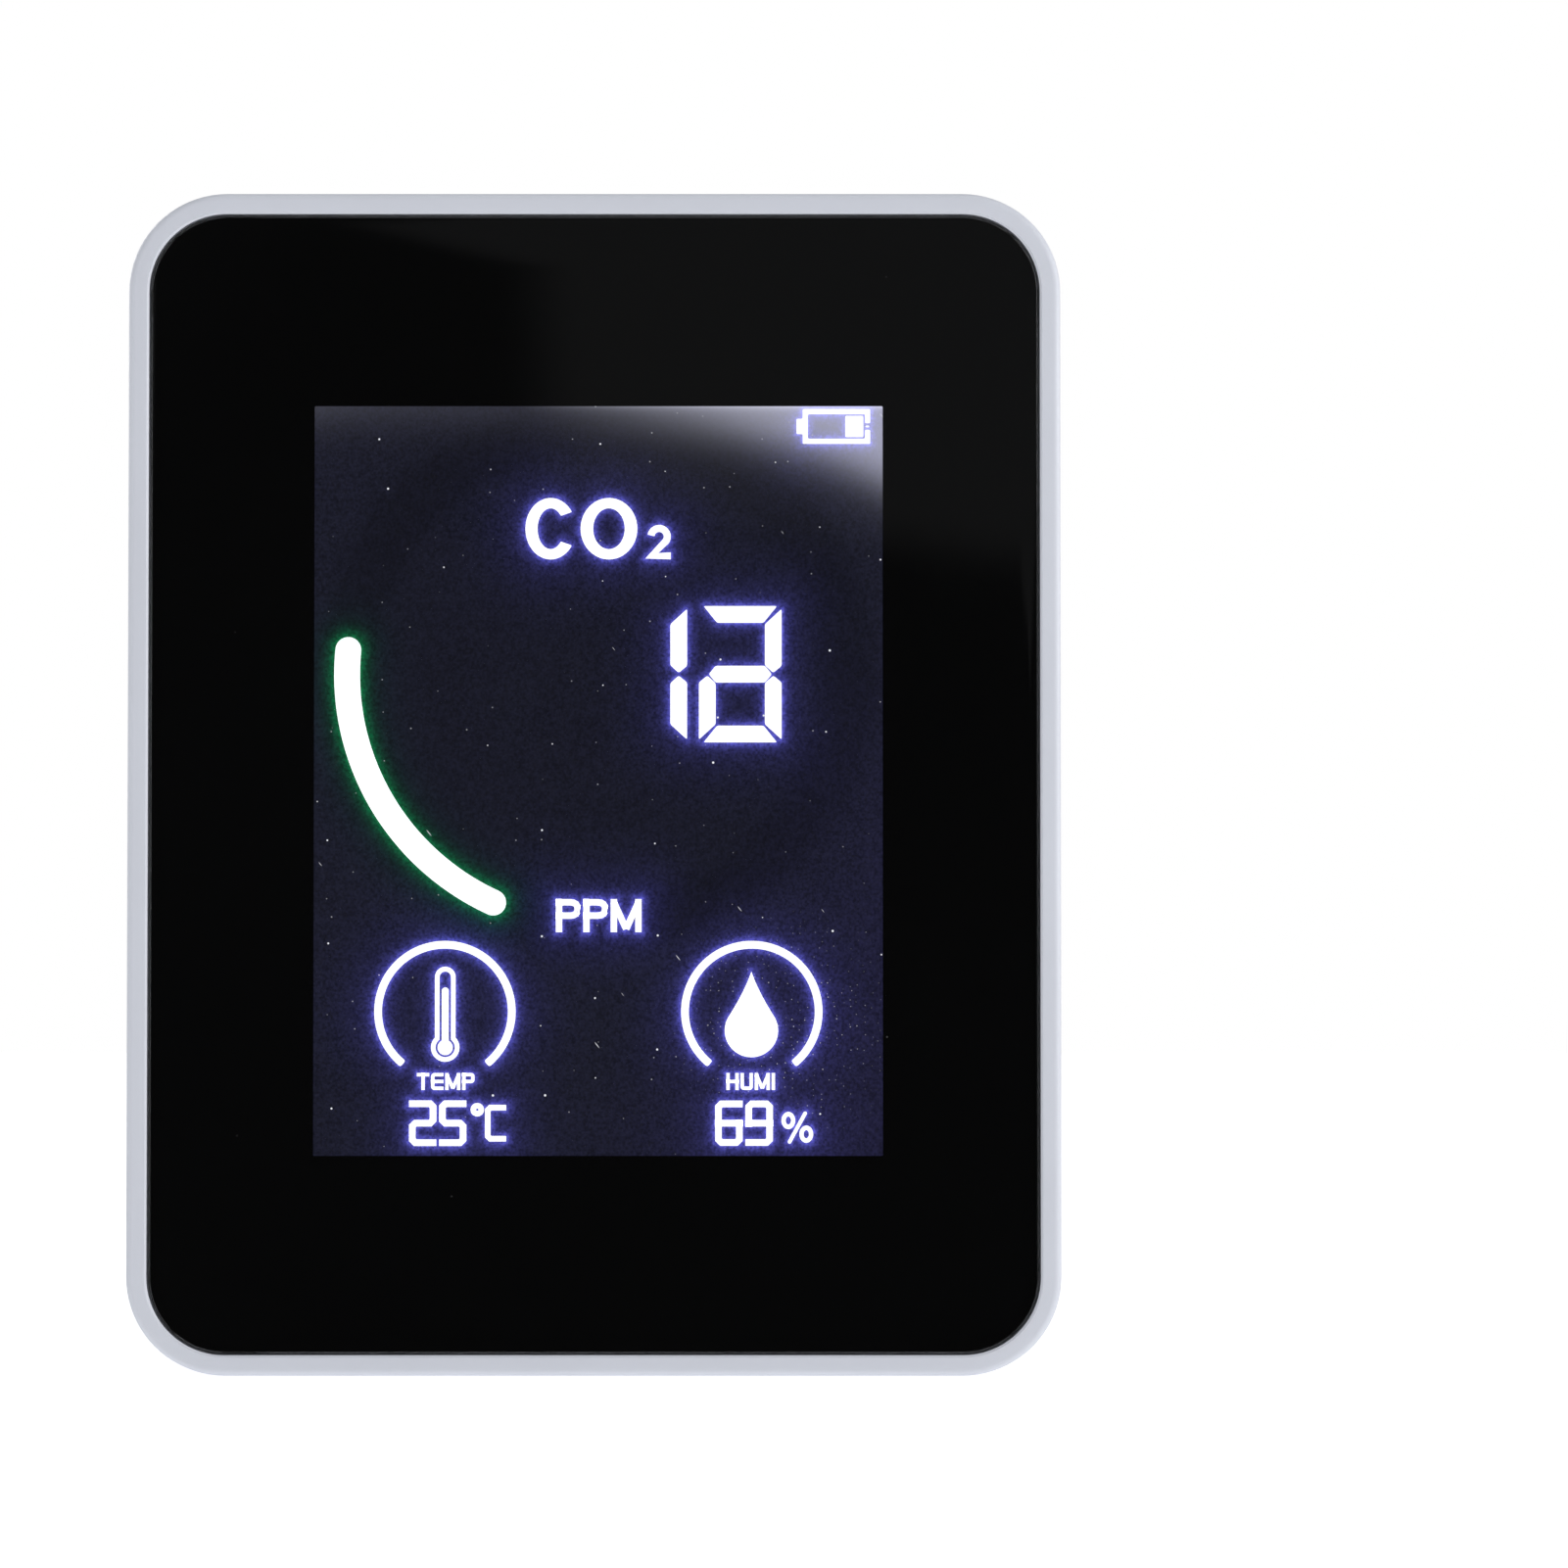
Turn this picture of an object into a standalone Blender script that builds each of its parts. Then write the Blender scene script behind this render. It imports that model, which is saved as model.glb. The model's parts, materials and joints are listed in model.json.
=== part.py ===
"""A desk carbon dioxide monitor, as an assembly of separate pieces.

Metres, +Z up. It stands upright on z = 0 with its display facing -Y, and the
origin is at the middle of its base. Pieces are built from the front to the
back: lens, display, circuit board, battery and sensors, rear cover and stand.
"""

import math

import bmesh
import bpy
from mathutils import Vector

MM = 0.001

# Case: two shells that meet on a plane near the front.
CASE_WIDTH = 90 * MM
CASE_HEIGHT = 114 * MM
CASE_DEPTH = 27 * MM
CASE_CORNER = 9.5 * MM
CASE_MIDDLE = CASE_HEIGHT / 2
WALL = 2 * MM
FRONT_Y = -CASE_DEPTH / 2
REAR_Y = CASE_DEPTH / 2
SPLIT_Y = FRONT_Y + 8.15 * MM
SPLIT_GAP = 0.3 * MM
FRONT_EDGE = 0.7 * MM
REAR_EDGE = 2.6 * MM
LIP_DEPTH = 1.2 * MM
LIP_THICKNESS = 0.9 * MM
FIT = 0.3 * MM
REST_GAP = 0.2 * MM
THROUGH = 3 * MM

# Front panel and display, whose window sits a little off the middle of the case.
WINDOW_X = 0.35 * MM
WINDOW_Z = CASE_MIDDLE + 0.3 * MM
WINDOW_WIDTH = 55 * MM
WINDOW_HEIGHT = 72.5 * MM
PANEL_CORNER = CASE_CORNER - WALL
PANEL_SINK = 0.2 * MM
LENS_THICKNESS = 1.4 * MM
FILM = 0.2 * MM
FILM_GAP = 0.15 * MM
TAPE_THICKNESS = 0.3 * MM
TAPE_BAND = 9 * MM
GLASS = 0.7 * MM
GLASS_WIDTH = 60 * MM
GLASS_TOP = WINDOW_Z + 39 * MM
GLASS_BOTTOM = WINDOW_Z - 40 * MM
CONTACT_STRIP = 4 * MM
SHEET_WIDTH = 58 * MM
SHEET_HEIGHT = 75 * MM
GUIDE_THICKNESS = 2.5 * MM
LEDGE_THICKNESS = 1.5 * MM
TRAY_WALL = 1.1 * MM
TRAY_BOTTOM = GLASS_BOTTOM
TRAY_TOP = WINDOW_Z + 40.5 * MM
TRAY_WIDTH = 63 * MM
LED_COUNT = 6
RIBBON_WIDTH = 40 * MM

LENS_Y = FRONT_Y + PANEL_SINK
MASK_Y = LENS_Y + LENS_THICKNESS + FILM_GAP
BEHIND_MASK_Y = MASK_Y + FILM + FILM_GAP
LEDGE_Y = BEHIND_MASK_Y + TAPE_THICKNESS + FILM_GAP
LEDGE_REAR_Y = LEDGE_Y + LEDGE_THICKNESS

# Circuit board and the screw posts that carry it.
BOARD_Y = -3.6 * MM
BOARD_THICKNESS = 1.6 * MM
BOARD_REAR_Y = BOARD_Y + BOARD_THICKNESS
BOARD_WIDTH = 79 * MM
BOARD_BOTTOM = 13 * MM
BOARD_TOP = 101 * MM
BOARD_SCREWS = [(x * MM, z * MM) for x in (-35, 35) for z in (18, 96)]
CASE_SCREWS = [(x * MM, z * MM) for x in (-38, 38) for z in (8, 106)]
POST_R = 2.7 * MM
CASE_POST_R = 3.2 * MM
PILOT_R = 1.05 * MM
SHANK_R = 0.9 * MM
CASE_HOLE_R = 1.3 * MM
COUNTERBORE_R = 2.9 * MM
HEAD_SEAT_Y = 9.2 * MM

# Socket on the right side, and the key on the top edge.
USB_Z = 30 * MM
USB_WIDTH = 7.5 * MM
USB_HEIGHT = 2.8 * MM
USB_LENGTH = 6.2 * MM
USB_MOUTH_X = CASE_WIDTH / 2 - 0.8 * MM
USB_SHELL = 0.3 * MM
USB_Y = BOARD_REAR_Y + REST_GAP + USB_HEIGHT / 2
BUTTON_X = 22 * MM
BUTTON_Y = 0.3 * MM
BUTTON_WIDTH = 12 * MM
BUTTON_DEPTH = 5 * MM
BUTTON_STAND = 0.6 * MM
BUTTON_TRAVEL = 0.4 * MM
BUTTON_SLACK = 0.25 * MM
SWITCH_TOP = BOARD_TOP - 1 * MM
PLUNGER_TOP = SWITCH_TOP + 2.5 * MM

# Places on the board's rear face, across and up.
HUMIDITY_X = -31 * MM
HUMIDITY_Z = 89 * MM
GAS_SENSOR_X = 20 * MM
GAS_SENSOR_Z = 84 * MM
GAS_PORT_OFFSET = 8 * MM
BUZZER_X = -14 * MM
BUZZER_Z = 86 * MM
BATTERY_X = -14 * MM
BATTERY_Z = 42 * MM

# Fold-out stand in the rear cover.
STAND_WIDTH = 48 * MM
STAND_TIP_Z = 5 * MM
STAND_THICKNESS = 2.2 * MM
STAND_AXIS_Y = 12.15 * MM
STAND_AXIS_Z = 62.5 * MM
STAND_KNUCKLE_R = 1.15 * MM
STAND_PIN_R = 0.6 * MM
STAND_BORE_R = 0.66 * MM
STAND_SLACK = 0.35 * MM
RECESS_FLOOR_Y = REAR_Y - 2.8 * MM
PAD_WIDTH = 10 * MM
PAD_HEIGHT = 4 * MM
PAD_THICKNESS = 0.6 * MM

# Vents.
VENT_COUNT = 9
VENT_PITCH = 5.5 * MM
VENT_WIDTH = 2 * MM
VENT_LOW_Z = 75 * MM
VENT_HIGH_Z = 97 * MM
SIDE_VENT_COUNT = 6
SIDE_VENT_PITCH = 4.5 * MM
SIDE_VENT_MIDDLE_Z = 86 * MM

CORNER_STEPS = 8
ROUND_STEPS = 16
SMALL_STEPS = 4
SHARP_ANGLE = math.radians(35)

# Colour, roughness and metallic value of each material.
MATERIALS = {
    "white_abs": ((0.60, 0.62, 0.66), 0.45, 0.0),
    "clear_acrylic": ((0.85, 0.88, 0.90), 0.05, 0.0),
    "black_print": ((0.005, 0.005, 0.006), 0.30, 0.0),
    "foam_tape": ((0.03, 0.03, 0.03), 0.90, 0.0),
    "polariser": ((0.04, 0.04, 0.06), 0.25, 0.0),
    "display_glass": ((0.10, 0.11, 0.15), 0.08, 0.0),
    "diffuser": ((0.85, 0.85, 0.85), 0.60, 0.0),
    "white_pbt": ((0.80, 0.80, 0.78), 0.55, 0.0),
    "polyimide": ((0.45, 0.22, 0.04), 0.40, 0.0),
    "green_board": ((0.02, 0.16, 0.06), 0.45, 0.0),
    "black_epoxy": ((0.02, 0.02, 0.02), 0.50, 0.0),
    "ferrite": ((0.08, 0.08, 0.09), 0.60, 0.0),
    "nickel_steel": ((0.65, 0.65, 0.66), 0.30, 1.0),
    "gold_plate": ((0.80, 0.58, 0.22), 0.30, 1.0),
    "key_plastic": ((0.55, 0.57, 0.61), 0.40, 0.0),
    "battery_pouch": ((0.55, 0.57, 0.60), 0.35, 0.8),
    "red_sleeve": ((0.50, 0.02, 0.02), 0.50, 0.0),
    "black_sleeve": ((0.02, 0.02, 0.02), 0.50, 0.0),
    "vent_fabric": ((0.05, 0.05, 0.05), 0.90, 0.0),
    "white_membrane": ((0.85, 0.85, 0.85), 0.80, 0.0),
    "black_rubber": ((0.03, 0.03, 0.03), 0.85, 0.0),
}

FACE_REAR = (-math.pi / 2, 0, 0)


def clear_scene():
    """Removes the objects that the scene starts with, and makes the two collections."""
    for old in list(bpy.data.objects):
        bpy.data.objects.remove(old, do_unlink=True)
    for name in ("carbon_dioxide_monitor", "cutters"):
        collection = bpy.data.collections.new(name)
        bpy.context.scene.collection.children.link(collection)


def material_named(name):
    """The Principled material of this name, made the first time it is asked for."""
    if name in bpy.data.materials:
        return bpy.data.materials[name]
    color, roughness, metallic = MATERIALS[name]
    material = bpy.data.materials.new(name)
    material.use_nodes = True
    shader = material.node_tree.nodes["Principled BSDF"]
    shader.inputs["Base Color"].default_value = (*color, 1.0)
    shader.inputs["Roughness"].default_value = roughness
    shader.inputs["Metallic"].default_value = metallic
    return material


def object_from(name, bm, location=(0, 0, 0), rotation=(0, 0, 0)):
    """An object in no collection yet, with its round faces shaded smooth."""
    bmesh.ops.recalc_face_normals(bm, faces=bm.faces)
    mesh = bpy.data.meshes.new(name)
    bm.to_mesh(mesh)
    bm.free()
    mesh.shade_smooth()
    mesh.set_sharp_from_angle(angle=SHARP_ANGLE)
    made = bpy.data.objects.new(name, mesh)
    made.location = location
    made.rotation_euler = rotation
    return made


def piece(name, bm, material, location=(0, 0, 0), rotation=(0, 0, 0)):
    """One piece of the monitor."""
    made = object_from(name, bm, location, rotation)
    made.data.materials.append(material_named(material))
    bpy.data.collections["carbon_dioxide_monitor"].objects.link(made)
    return made


def tool(name, bm, location=(0, 0, 0), rotation=(0, 0, 0)):
    """A solid that only cuts or joins another piece."""
    made = object_from(name, bm, location, rotation)
    made.hide_render = True
    made.display_type = "WIRE"
    bpy.data.collections["cutters"].objects.link(made)
    return made


def combine(target, other, operation):
    modifier = target.modifiers.new(other.name, "BOOLEAN")
    modifier.operation = operation
    modifier.solver = "EXACT"
    modifier.object = other


def cut(target, name, bm, **place):
    combine(target, tool(name, bm, **place), "DIFFERENCE")


def join(target, name, bm, **place):
    combine(target, tool(name, bm, **place), "UNION")


def add_block(bm, low, high, radius=0.0, along=1, steps=CORNER_STEPS, where=None):
    """A box between two corners. Its edges along one axis are rounded, or only those in where."""
    low = Vector(low)
    high = Vector(high)
    verts = bmesh.ops.create_cube(bm, size=1.0)["verts"]
    bmesh.ops.scale(bm, vec=high - low, verts=verts)
    bmesh.ops.translate(bm, vec=(low + high) / 2, verts=verts)
    if radius == 0.0:
        return
    edges = {edge for vert in verts for edge in vert.link_edges}
    chosen = []
    for edge in edges:
        ends = [vert.co for vert in edge.verts]
        if abs(ends[0][along] - ends[1][along]) < 1e-6:
            continue
        if where is None or where((ends[0] + ends[1]) / 2):
            chosen.append(edge)
    bmesh.ops.bevel(
        bm, geom=chosen, offset=radius, segments=steps, profile=0.5, affect="EDGES"
    )


def add_rod(bm, radius, start, end, steps=ROUND_STEPS):
    """A closed cylinder between two points."""
    start = Vector(start)
    end = Vector(end)
    run = end - start
    turn = run.to_track_quat("Z", "Y").to_matrix().to_4x4()
    turn.translation = (start + end) / 2
    bmesh.ops.create_cone(
        bm,
        cap_ends=True,
        segments=steps,
        radius1=radius,
        radius2=radius,
        depth=run.length,
        matrix=turn,
    )


def block(low, high, **rounding):
    bm = bmesh.new()
    add_block(bm, low, high, **rounding)
    return bm


def centred(width, depth, height, **rounding):
    """A box around the origin, for a piece that is placed by its location."""
    half = Vector((width, depth, height)) / 2
    return block(-half, half, **rounding)


def round_rim(bm, level, radius, steps, along=1):
    """Rounds the outline of the flat face that lies at one level on an axis."""
    rim = [
        edge
        for edge in bm.edges
        if all(abs(vert.co[along] - level) < 1e-7 for vert in edge.verts)
    ]
    bmesh.ops.bevel(bm, geom=rim, offset=radius, segments=steps, profile=0.5, affect="EDGES")


def case_block(inset, low_y, high_y, steps=CORNER_STEPS):
    """The case's own outline, drawn in by inset, between two depths."""
    half = CASE_WIDTH / 2 - inset
    return block(
        (-half, low_y, inset),
        (half, high_y, CASE_HEIGHT - inset),
        radius=CASE_CORNER - inset,
        steps=steps,
    )


def turned(name, profile, material, location, rotation, steps=ROUND_STEPS):
    """A turned piece: its profile runs from the top of its axis, down its outer side."""
    bm = bmesh.new()
    points = [bm.verts.new((radius, 0, height)) for radius, height in profile]
    for upper, lower in zip(points, points[1:]):
        bm.edges.new((upper, lower))
    made = piece(name, bm, material, location, rotation)
    screw = made.modifiers.new("turn", "SCREW")
    screw.steps = steps
    screw.render_steps = steps
    screw.use_merge_vertices = True
    screw.merge_threshold = 0.00001
    screw.use_smooth_shade = True
    return made


def smooth_route(points, per_span=4):
    """Points on a Catmull-Rom curve through the given ones."""
    points = [Vector(point) for point in points]
    padded = [2 * points[0] - points[1], *points, 2 * points[-1] - points[-2]]
    route = []
    for before, start, end, after in zip(padded, padded[1:], padded[2:], padded[3:]):
        for step in range(per_span):
            t = step / per_span
            pull = (end - before) * t + (2 * before - 5 * start + 4 * end - after) * t**2
            pull += (3 * start - before - 3 * end + after) * t**3
            route.append(start + pull / 2)
    route.append(points[-1])
    return route


def wire(name, points, radius, material):
    """A round wire through the points, with closed ends."""
    curve = bpy.data.curves.new(name, "CURVE")
    curve.dimensions = "3D"
    curve.bevel_depth = radius
    curve.bevel_resolution = 2
    curve.use_fill_caps = True
    spline = curve.splines.new("POLY")
    route = smooth_route(points)
    spline.points.add(len(route) - 1)
    for point, place in zip(spline.points, route):
        point.co = (*place, 1.0)
    made = bpy.data.objects.new(name, curve)
    made.data.materials.append(material_named(material))
    bpy.data.collections["carbon_dioxide_monitor"].objects.link(made)


def hang_on(name, place, pieces):
    """An empty on a joint's axis, with the pieces that move about it."""
    axis = bpy.data.objects.new(name, None)
    axis.location = place
    axis.empty_display_size = 5 * MM
    bpy.data.collections["carbon_dioxide_monitor"].objects.link(axis)
    bpy.context.view_layer.update()
    for moving in pieces:
        moving.parent = axis
        moving.matrix_parent_inverse = axis.matrix_world.inverted()


# Front panel


def front_frame():
    """The white front shell: a rim around the lens, a ledge behind it and screw posts."""
    split = SPLIT_Y - SPLIT_GAP / 2
    lip_end = split + LIP_DEPTH
    bm = case_block(0, FRONT_Y, split)
    round_rim(bm, FRONT_Y, FRONT_EDGE, 3)
    frame = piece("front_frame", bm, "white_abs")
    join(frame, "frame_lip", case_block(WALL - LIP_THICKNESS, split - THROUGH, lip_end))
    cut(frame, "frame_lens_seat", case_block(WALL, FRONT_Y - THROUGH, LEDGE_Y))
    cut(frame, "frame_cavity", case_block(WALL, LEDGE_REAR_Y, lip_end + THROUGH))
    opening = block(
        (WINDOW_X - GLASS_WIDTH / 2 - FIT, LEDGE_Y - THROUGH, GLASS_BOTTOM - CONTACT_STRIP - FIT),
        (WINDOW_X + GLASS_WIDTH / 2 + FIT, LEDGE_REAR_Y + THROUGH, GLASS_TOP + FIT),
    )
    cut(frame, "frame_display_opening", opening)
    posts = bmesh.new()
    for x, z in BOARD_SCREWS:
        add_rod(posts, POST_R, (x, LEDGE_REAR_Y - 1 * MM, z), (x, BOARD_Y - FIT, z))
    for x, z in CASE_SCREWS:
        add_rod(posts, CASE_POST_R, (x, LEDGE_REAR_Y - 1 * MM, z), (x, BOARD_REAR_Y, z))
    join(frame, "frame_posts", posts)
    pilots = bmesh.new()
    for x, z in BOARD_SCREWS + CASE_SCREWS:
        add_rod(pilots, PILOT_R, (x, LEDGE_REAR_Y + 0.5 * MM, z), (x, BOARD_REAR_Y + THROUGH, z), 12)
    cut(frame, "frame_pilots", pilots)


def panel_block(low_y, thickness):
    """The outline of the lens, a fit smaller than its seat."""
    return case_block(WALL + FIT / 2, low_y, low_y + thickness)


def window_block(low_y, high_y):
    half = WINDOW_WIDTH / 2
    rise = WINDOW_HEIGHT / 2
    return block((WINDOW_X - half, low_y, WINDOW_Z - rise), (WINDOW_X + half, high_y, WINDOW_Z + rise))


def front_lens():
    bm = panel_block(LENS_Y, LENS_THICKNESS)
    round_rim(bm, LENS_Y, 0.25 * MM, 2)
    piece("front_lens", bm, "clear_acrylic")


def lens_mask():
    """The black print behind the lens, with the display's window left clear."""
    mask = piece("lens_mask", panel_block(MASK_Y, FILM), "black_print")
    cut(mask, "mask_window", window_block(MASK_Y - THROUGH, MASK_Y + THROUGH))


def lens_tape():
    """A ring of foam tape that holds the lens on the ledge."""
    bm = case_block(WALL + 2 * FIT, BEHIND_MASK_Y, BEHIND_MASK_Y + TAPE_THICKNESS)
    tape = piece("lens_tape", bm, "foam_tape")
    hole = case_block(TAPE_BAND, BEHIND_MASK_Y - THROUGH, BEHIND_MASK_Y + THROUGH)
    cut(tape, "tape_hole", hole)


# Display


def display_layers():
    """The display's layers, front to back. Returns the depth of the tray's floor."""
    polariser = (SHEET_WIDTH, WINDOW_Z + SHEET_HEIGHT / 2, WINDOW_Z - SHEET_HEIGHT / 2)
    front_glass = (GLASS_WIDTH, GLASS_TOP, GLASS_BOTTOM)
    rear_glass = (GLASS_WIDTH, GLASS_TOP, GLASS_BOTTOM - CONTACT_STRIP)
    layers = [
        ("front_polariser", polariser, FILM, "polariser"),
        ("lcd_front_glass", front_glass, GLASS, "display_glass"),
        ("lcd_rear_glass", rear_glass, GLASS, "display_glass"),
        ("rear_polariser", polariser, FILM, "polariser"),
        ("diffuser_sheet", polariser, FILM, "diffuser"),
        ("light_guide", polariser, GUIDE_THICKNESS, "clear_acrylic"),
        ("reflector_sheet", polariser, FILM, "diffuser"),
    ]
    y = BEHIND_MASK_Y
    for name, (width, top, bottom), thickness, material in layers:
        bm = centred(width, thickness, top - bottom)
        piece(name, bm, material, (WINDOW_X, y + thickness / 2, (top + bottom) / 2))
        y += thickness + FILM_GAP
    return y


def backlight_tray(floor_y):
    """An open box that holds the light guide and the lamps behind the glass."""
    half = TRAY_WIDTH / 2
    mouth_y = floor_y - GUIDE_THICKNESS - 3 * (FILM + FILM_GAP)
    low = Vector((WINDOW_X - half, mouth_y, TRAY_BOTTOM))
    high = Vector((WINDOW_X + half, floor_y + TRAY_WALL, TRAY_TOP))
    tray = piece("backlight_tray", block(low, high, radius=1 * MM, steps=2), "white_pbt")
    inner_low = low + Vector((TRAY_WALL, -THROUGH, TRAY_WALL))
    inner_high = high - Vector((TRAY_WALL, TRAY_WALL, TRAY_WALL))
    cut(tray, "tray_cavity", block(inner_low, inner_high))


def led_strip(floor_y):
    """A narrow board along the tray's lower edge, with a row of lamps facing up."""
    board = 0.5 * MM
    depth = GUIDE_THICKNESS * 0.8
    middle_y = floor_y - FILM - FILM_GAP - GUIDE_THICKNESS / 2
    base_z = TRAY_BOTTOM + TRAY_WALL + REST_GAP
    length = SHEET_WIDTH - 8 * MM
    strip = piece(
        "led_strip",
        centred(length, depth, board),
        "white_pbt",
        (WINDOW_X, middle_y, base_z + board / 2),
    )
    lamps = bmesh.new()
    pitch = length / LED_COUNT
    lamp_top = WINDOW_Z - SHEET_HEIGHT / 2 - REST_GAP
    for index in range(LED_COUNT):
        x = WINDOW_X + (index - (LED_COUNT - 1) / 2) * pitch
        low = (x - 1.5 * MM, middle_y - depth * 0.4, base_z + board / 2)
        add_block(lamps, low, (x + 1.5 * MM, middle_y + depth * 0.4, lamp_top))
    join(strip, "led_lamps", lamps)


def display_ribbon(glass_rear_y):
    """A flat flexible circuit from the glass's contact strip, round to the board."""
    start_y = glass_rear_y + REST_GAP + FILM / 2
    end_y = BOARD_Y - REST_GAP - FILM / 2
    radius = (end_y - start_y) / 2
    turn_z = GLASS_BOTTOM - CONTACT_STRIP + 0.4 * MM
    path = [(start_y, GLASS_BOTTOM - 0.6 * MM)]
    for step in range(13):
        angle = math.pi * step / 12
        y = start_y + radius * (1 - math.cos(angle))
        path.append((y, turn_z - radius * math.sin(angle)))
    path.append((end_y, BOARD_BOTTOM + 4 * MM))
    bm = bmesh.new()
    verts = [bm.verts.new((-RIBBON_WIDTH / 2, y, z)) for y, z in path]
    edges = [bm.edges.new(pair) for pair in zip(verts, verts[1:])]
    swept = bmesh.ops.extrude_edge_only(bm, edges=edges)["geom"]
    moved = [item for item in swept if isinstance(item, bmesh.types.BMVert)]
    bmesh.ops.translate(bm, vec=(RIBBON_WIDTH, 0, 0), verts=moved)
    ribbon = piece("display_ribbon", bm, "polyimide", (WINDOW_X, 0, 0))
    solid = ribbon.modifiers.new("thickness", "SOLIDIFY")
    solid.thickness = FILM
    solid.offset = 0.0


# Circuit board and what is on it


def main_board():
    half = BOARD_WIDTH / 2
    bm = block(
        (-half, BOARD_Y, BOARD_BOTTOM),
        (half, BOARD_REAR_Y, BOARD_TOP),
        radius=2 * MM,
        steps=SMALL_STEPS,
    )
    board = piece("main_board", bm, "green_board")
    holes = bmesh.new()
    for x, z in BOARD_SCREWS:
        add_rod(holes, 1.3 * MM, (x, BOARD_Y - THROUGH, z), (x, BOARD_REAR_Y + THROUGH, z))
    cut(board, "board_holes", holes)
    slots = bmesh.new()
    for offset in (-3.2 * MM, 3.2 * MM):
        x = HUMIDITY_X + offset
        low = (x - 0.6 * MM, BOARD_Y - THROUGH, HUMIDITY_Z - 4 * MM)
        high = (x + 0.6 * MM, BOARD_REAR_Y + THROUGH, HUMIDITY_Z + 3 * MM)
        add_block(slots, low, high, radius=0.55 * MM, steps=2)
    cut(board, "board_heat_slots", slots)


def on_board(x, z, height):
    """The middle of a piece of this height that sits on the board's rear face."""
    return (x, BOARD_REAR_Y + REST_GAP + height / 2, z)


def chip(name, x, z, size, legs_per_side, sides):
    """A moulded chip with flat legs on two or four sides."""
    height = 1.4 * MM
    place = on_board(x, z, height)
    body = piece(name, centred(*size_on_board(size, height)), "black_epoxy", place)
    legs = bmesh.new()
    reach = 0.9 * MM
    pitch = size[1] * 0.84 / legs_per_side
    for side in range(sides):
        across = side % 2
        sign = -1 if side < 2 else 1
        if sides == 2:
            across = 0
            sign = (-1, 1)[side]
        for index in range(legs_per_side):
            along = (index - (legs_per_side - 1) / 2) * pitch
            middle = sign * size[across] / 2
            low = [middle - reach, -height / 2 + 0.05 * MM, along - pitch * 0.25]
            high = [middle + reach, -height / 2 + 0.35 * MM, along + pitch * 0.25]
            if across:
                low = [low[2], low[1], low[0]]
                high = [high[2], high[1], high[0]]
            add_block(legs, low, high)
    join(body, name + "_legs", legs, location=place)


def size_on_board(size, height):
    """Width, depth and height of a box that lies on the board."""
    return size[0], height, size[1]


def board_parts():
    """The small parts soldered to the board's rear face."""
    chip("mcu_chip", 24 * MM, 46 * MM, (10 * MM, 10 * MM), 8, 4)
    chip("lcd_driver_chip", 24 * MM, 63 * MM, (5.3 * MM, 8 * MM), 8, 2)
    chip("charger_chip", 28 * MM, 21 * MM, (3.9 * MM, 4.9 * MM), 4, 2)
    coil_height = 3 * MM
    coil = centred(6 * MM, coil_height, 6 * MM, radius=1.2 * MM, steps=3)
    piece("power_inductor", coil, "ferrite", on_board(17 * MM, 21 * MM, coil_height))
    crystal_height = 2.5 * MM
    crystal = centred(3.2 * MM, crystal_height, 8 * MM, radius=1.5 * MM, steps=4)
    piece("clock_crystal", crystal, "nickel_steel", on_board(12 * MM, 44 * MM, crystal_height))


def humidity_sensor():
    """A small sensor with an open well, between the slots that keep the board's heat away."""
    height = 1.1 * MM
    place = on_board(HUMIDITY_X, HUMIDITY_Z, height)
    sensor = piece("humidity_sensor", centred(3 * MM, height, 3 * MM), "black_epoxy", place)
    well = bmesh.new()
    add_rod(well, 0.8 * MM, (0, 0.2 * MM, 0), (0, height, 0), 12)
    cut(sensor, "humidity_well", well, location=place)


def buzzer():
    radius = 4.5 * MM
    height = 4.5 * MM
    profile = [
        (0, height - 1 * MM),
        (1 * MM, height - 1 * MM),
        (1 * MM, height),
        (radius - 0.4 * MM, height),
        (radius, height - 0.4 * MM),
        (radius, 0),
        (0, 0),
    ]
    place = (BUZZER_X, BOARD_REAR_Y + REST_GAP, BUZZER_Z)
    turned("buzzer", profile, "black_epoxy", place, FACE_REAR, 20)


def gas_sensor():
    """The infrared gas cell: a header, its board, a plated chamber and its membrane."""
    x = GAS_SENSOR_X
    z = GAS_SENSOR_Z
    pins = 2.4 * MM
    sheet = 1.2 * MM
    header = centred(pins, pins, 17 * MM)
    y = BOARD_REAR_Y + REST_GAP
    piece("gas_sensor_header", header, "black_epoxy", (x - 14 * MM, y + pins / 2, z))
    y += pins + REST_GAP
    board = centred(33 * MM, sheet, 20 * MM, radius=1 * MM, steps=2)
    piece("gas_sensor_board", board, "green_board", (x, y + sheet / 2, z))
    y += sheet + REST_GAP
    depth = 6 * MM
    can = centred(29 * MM, depth, 16.5 * MM, radius=2 * MM, steps=3)
    round_rim(can, depth / 2, 0.6 * MM, 2)
    chamber = piece("gas_sensor_chamber", can, "gold_plate", (x, y + depth / 2, z))
    ports = bmesh.new()
    for offset in (-GAS_PORT_OFFSET, GAS_PORT_OFFSET):
        add_rod(ports, 3.6 * MM, (offset, depth / 2 - 0.7 * MM, 0), (offset, depth, 0))
    cut(chamber, "chamber_ports", ports, location=(x, y + depth / 2, z))
    for side, offset in (("left", -GAS_PORT_OFFSET), ("right", GAS_PORT_OFFSET)):
        bm = bmesh.new()
        add_rod(bm, 3.3 * MM, (0, -0.2 * MM, 0), (0, 0.2 * MM, 0))
        place = (x + offset, y + depth - 0.2 * MM, z)
        piece("gas_membrane_" + side, bm, "white_membrane", place)


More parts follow.
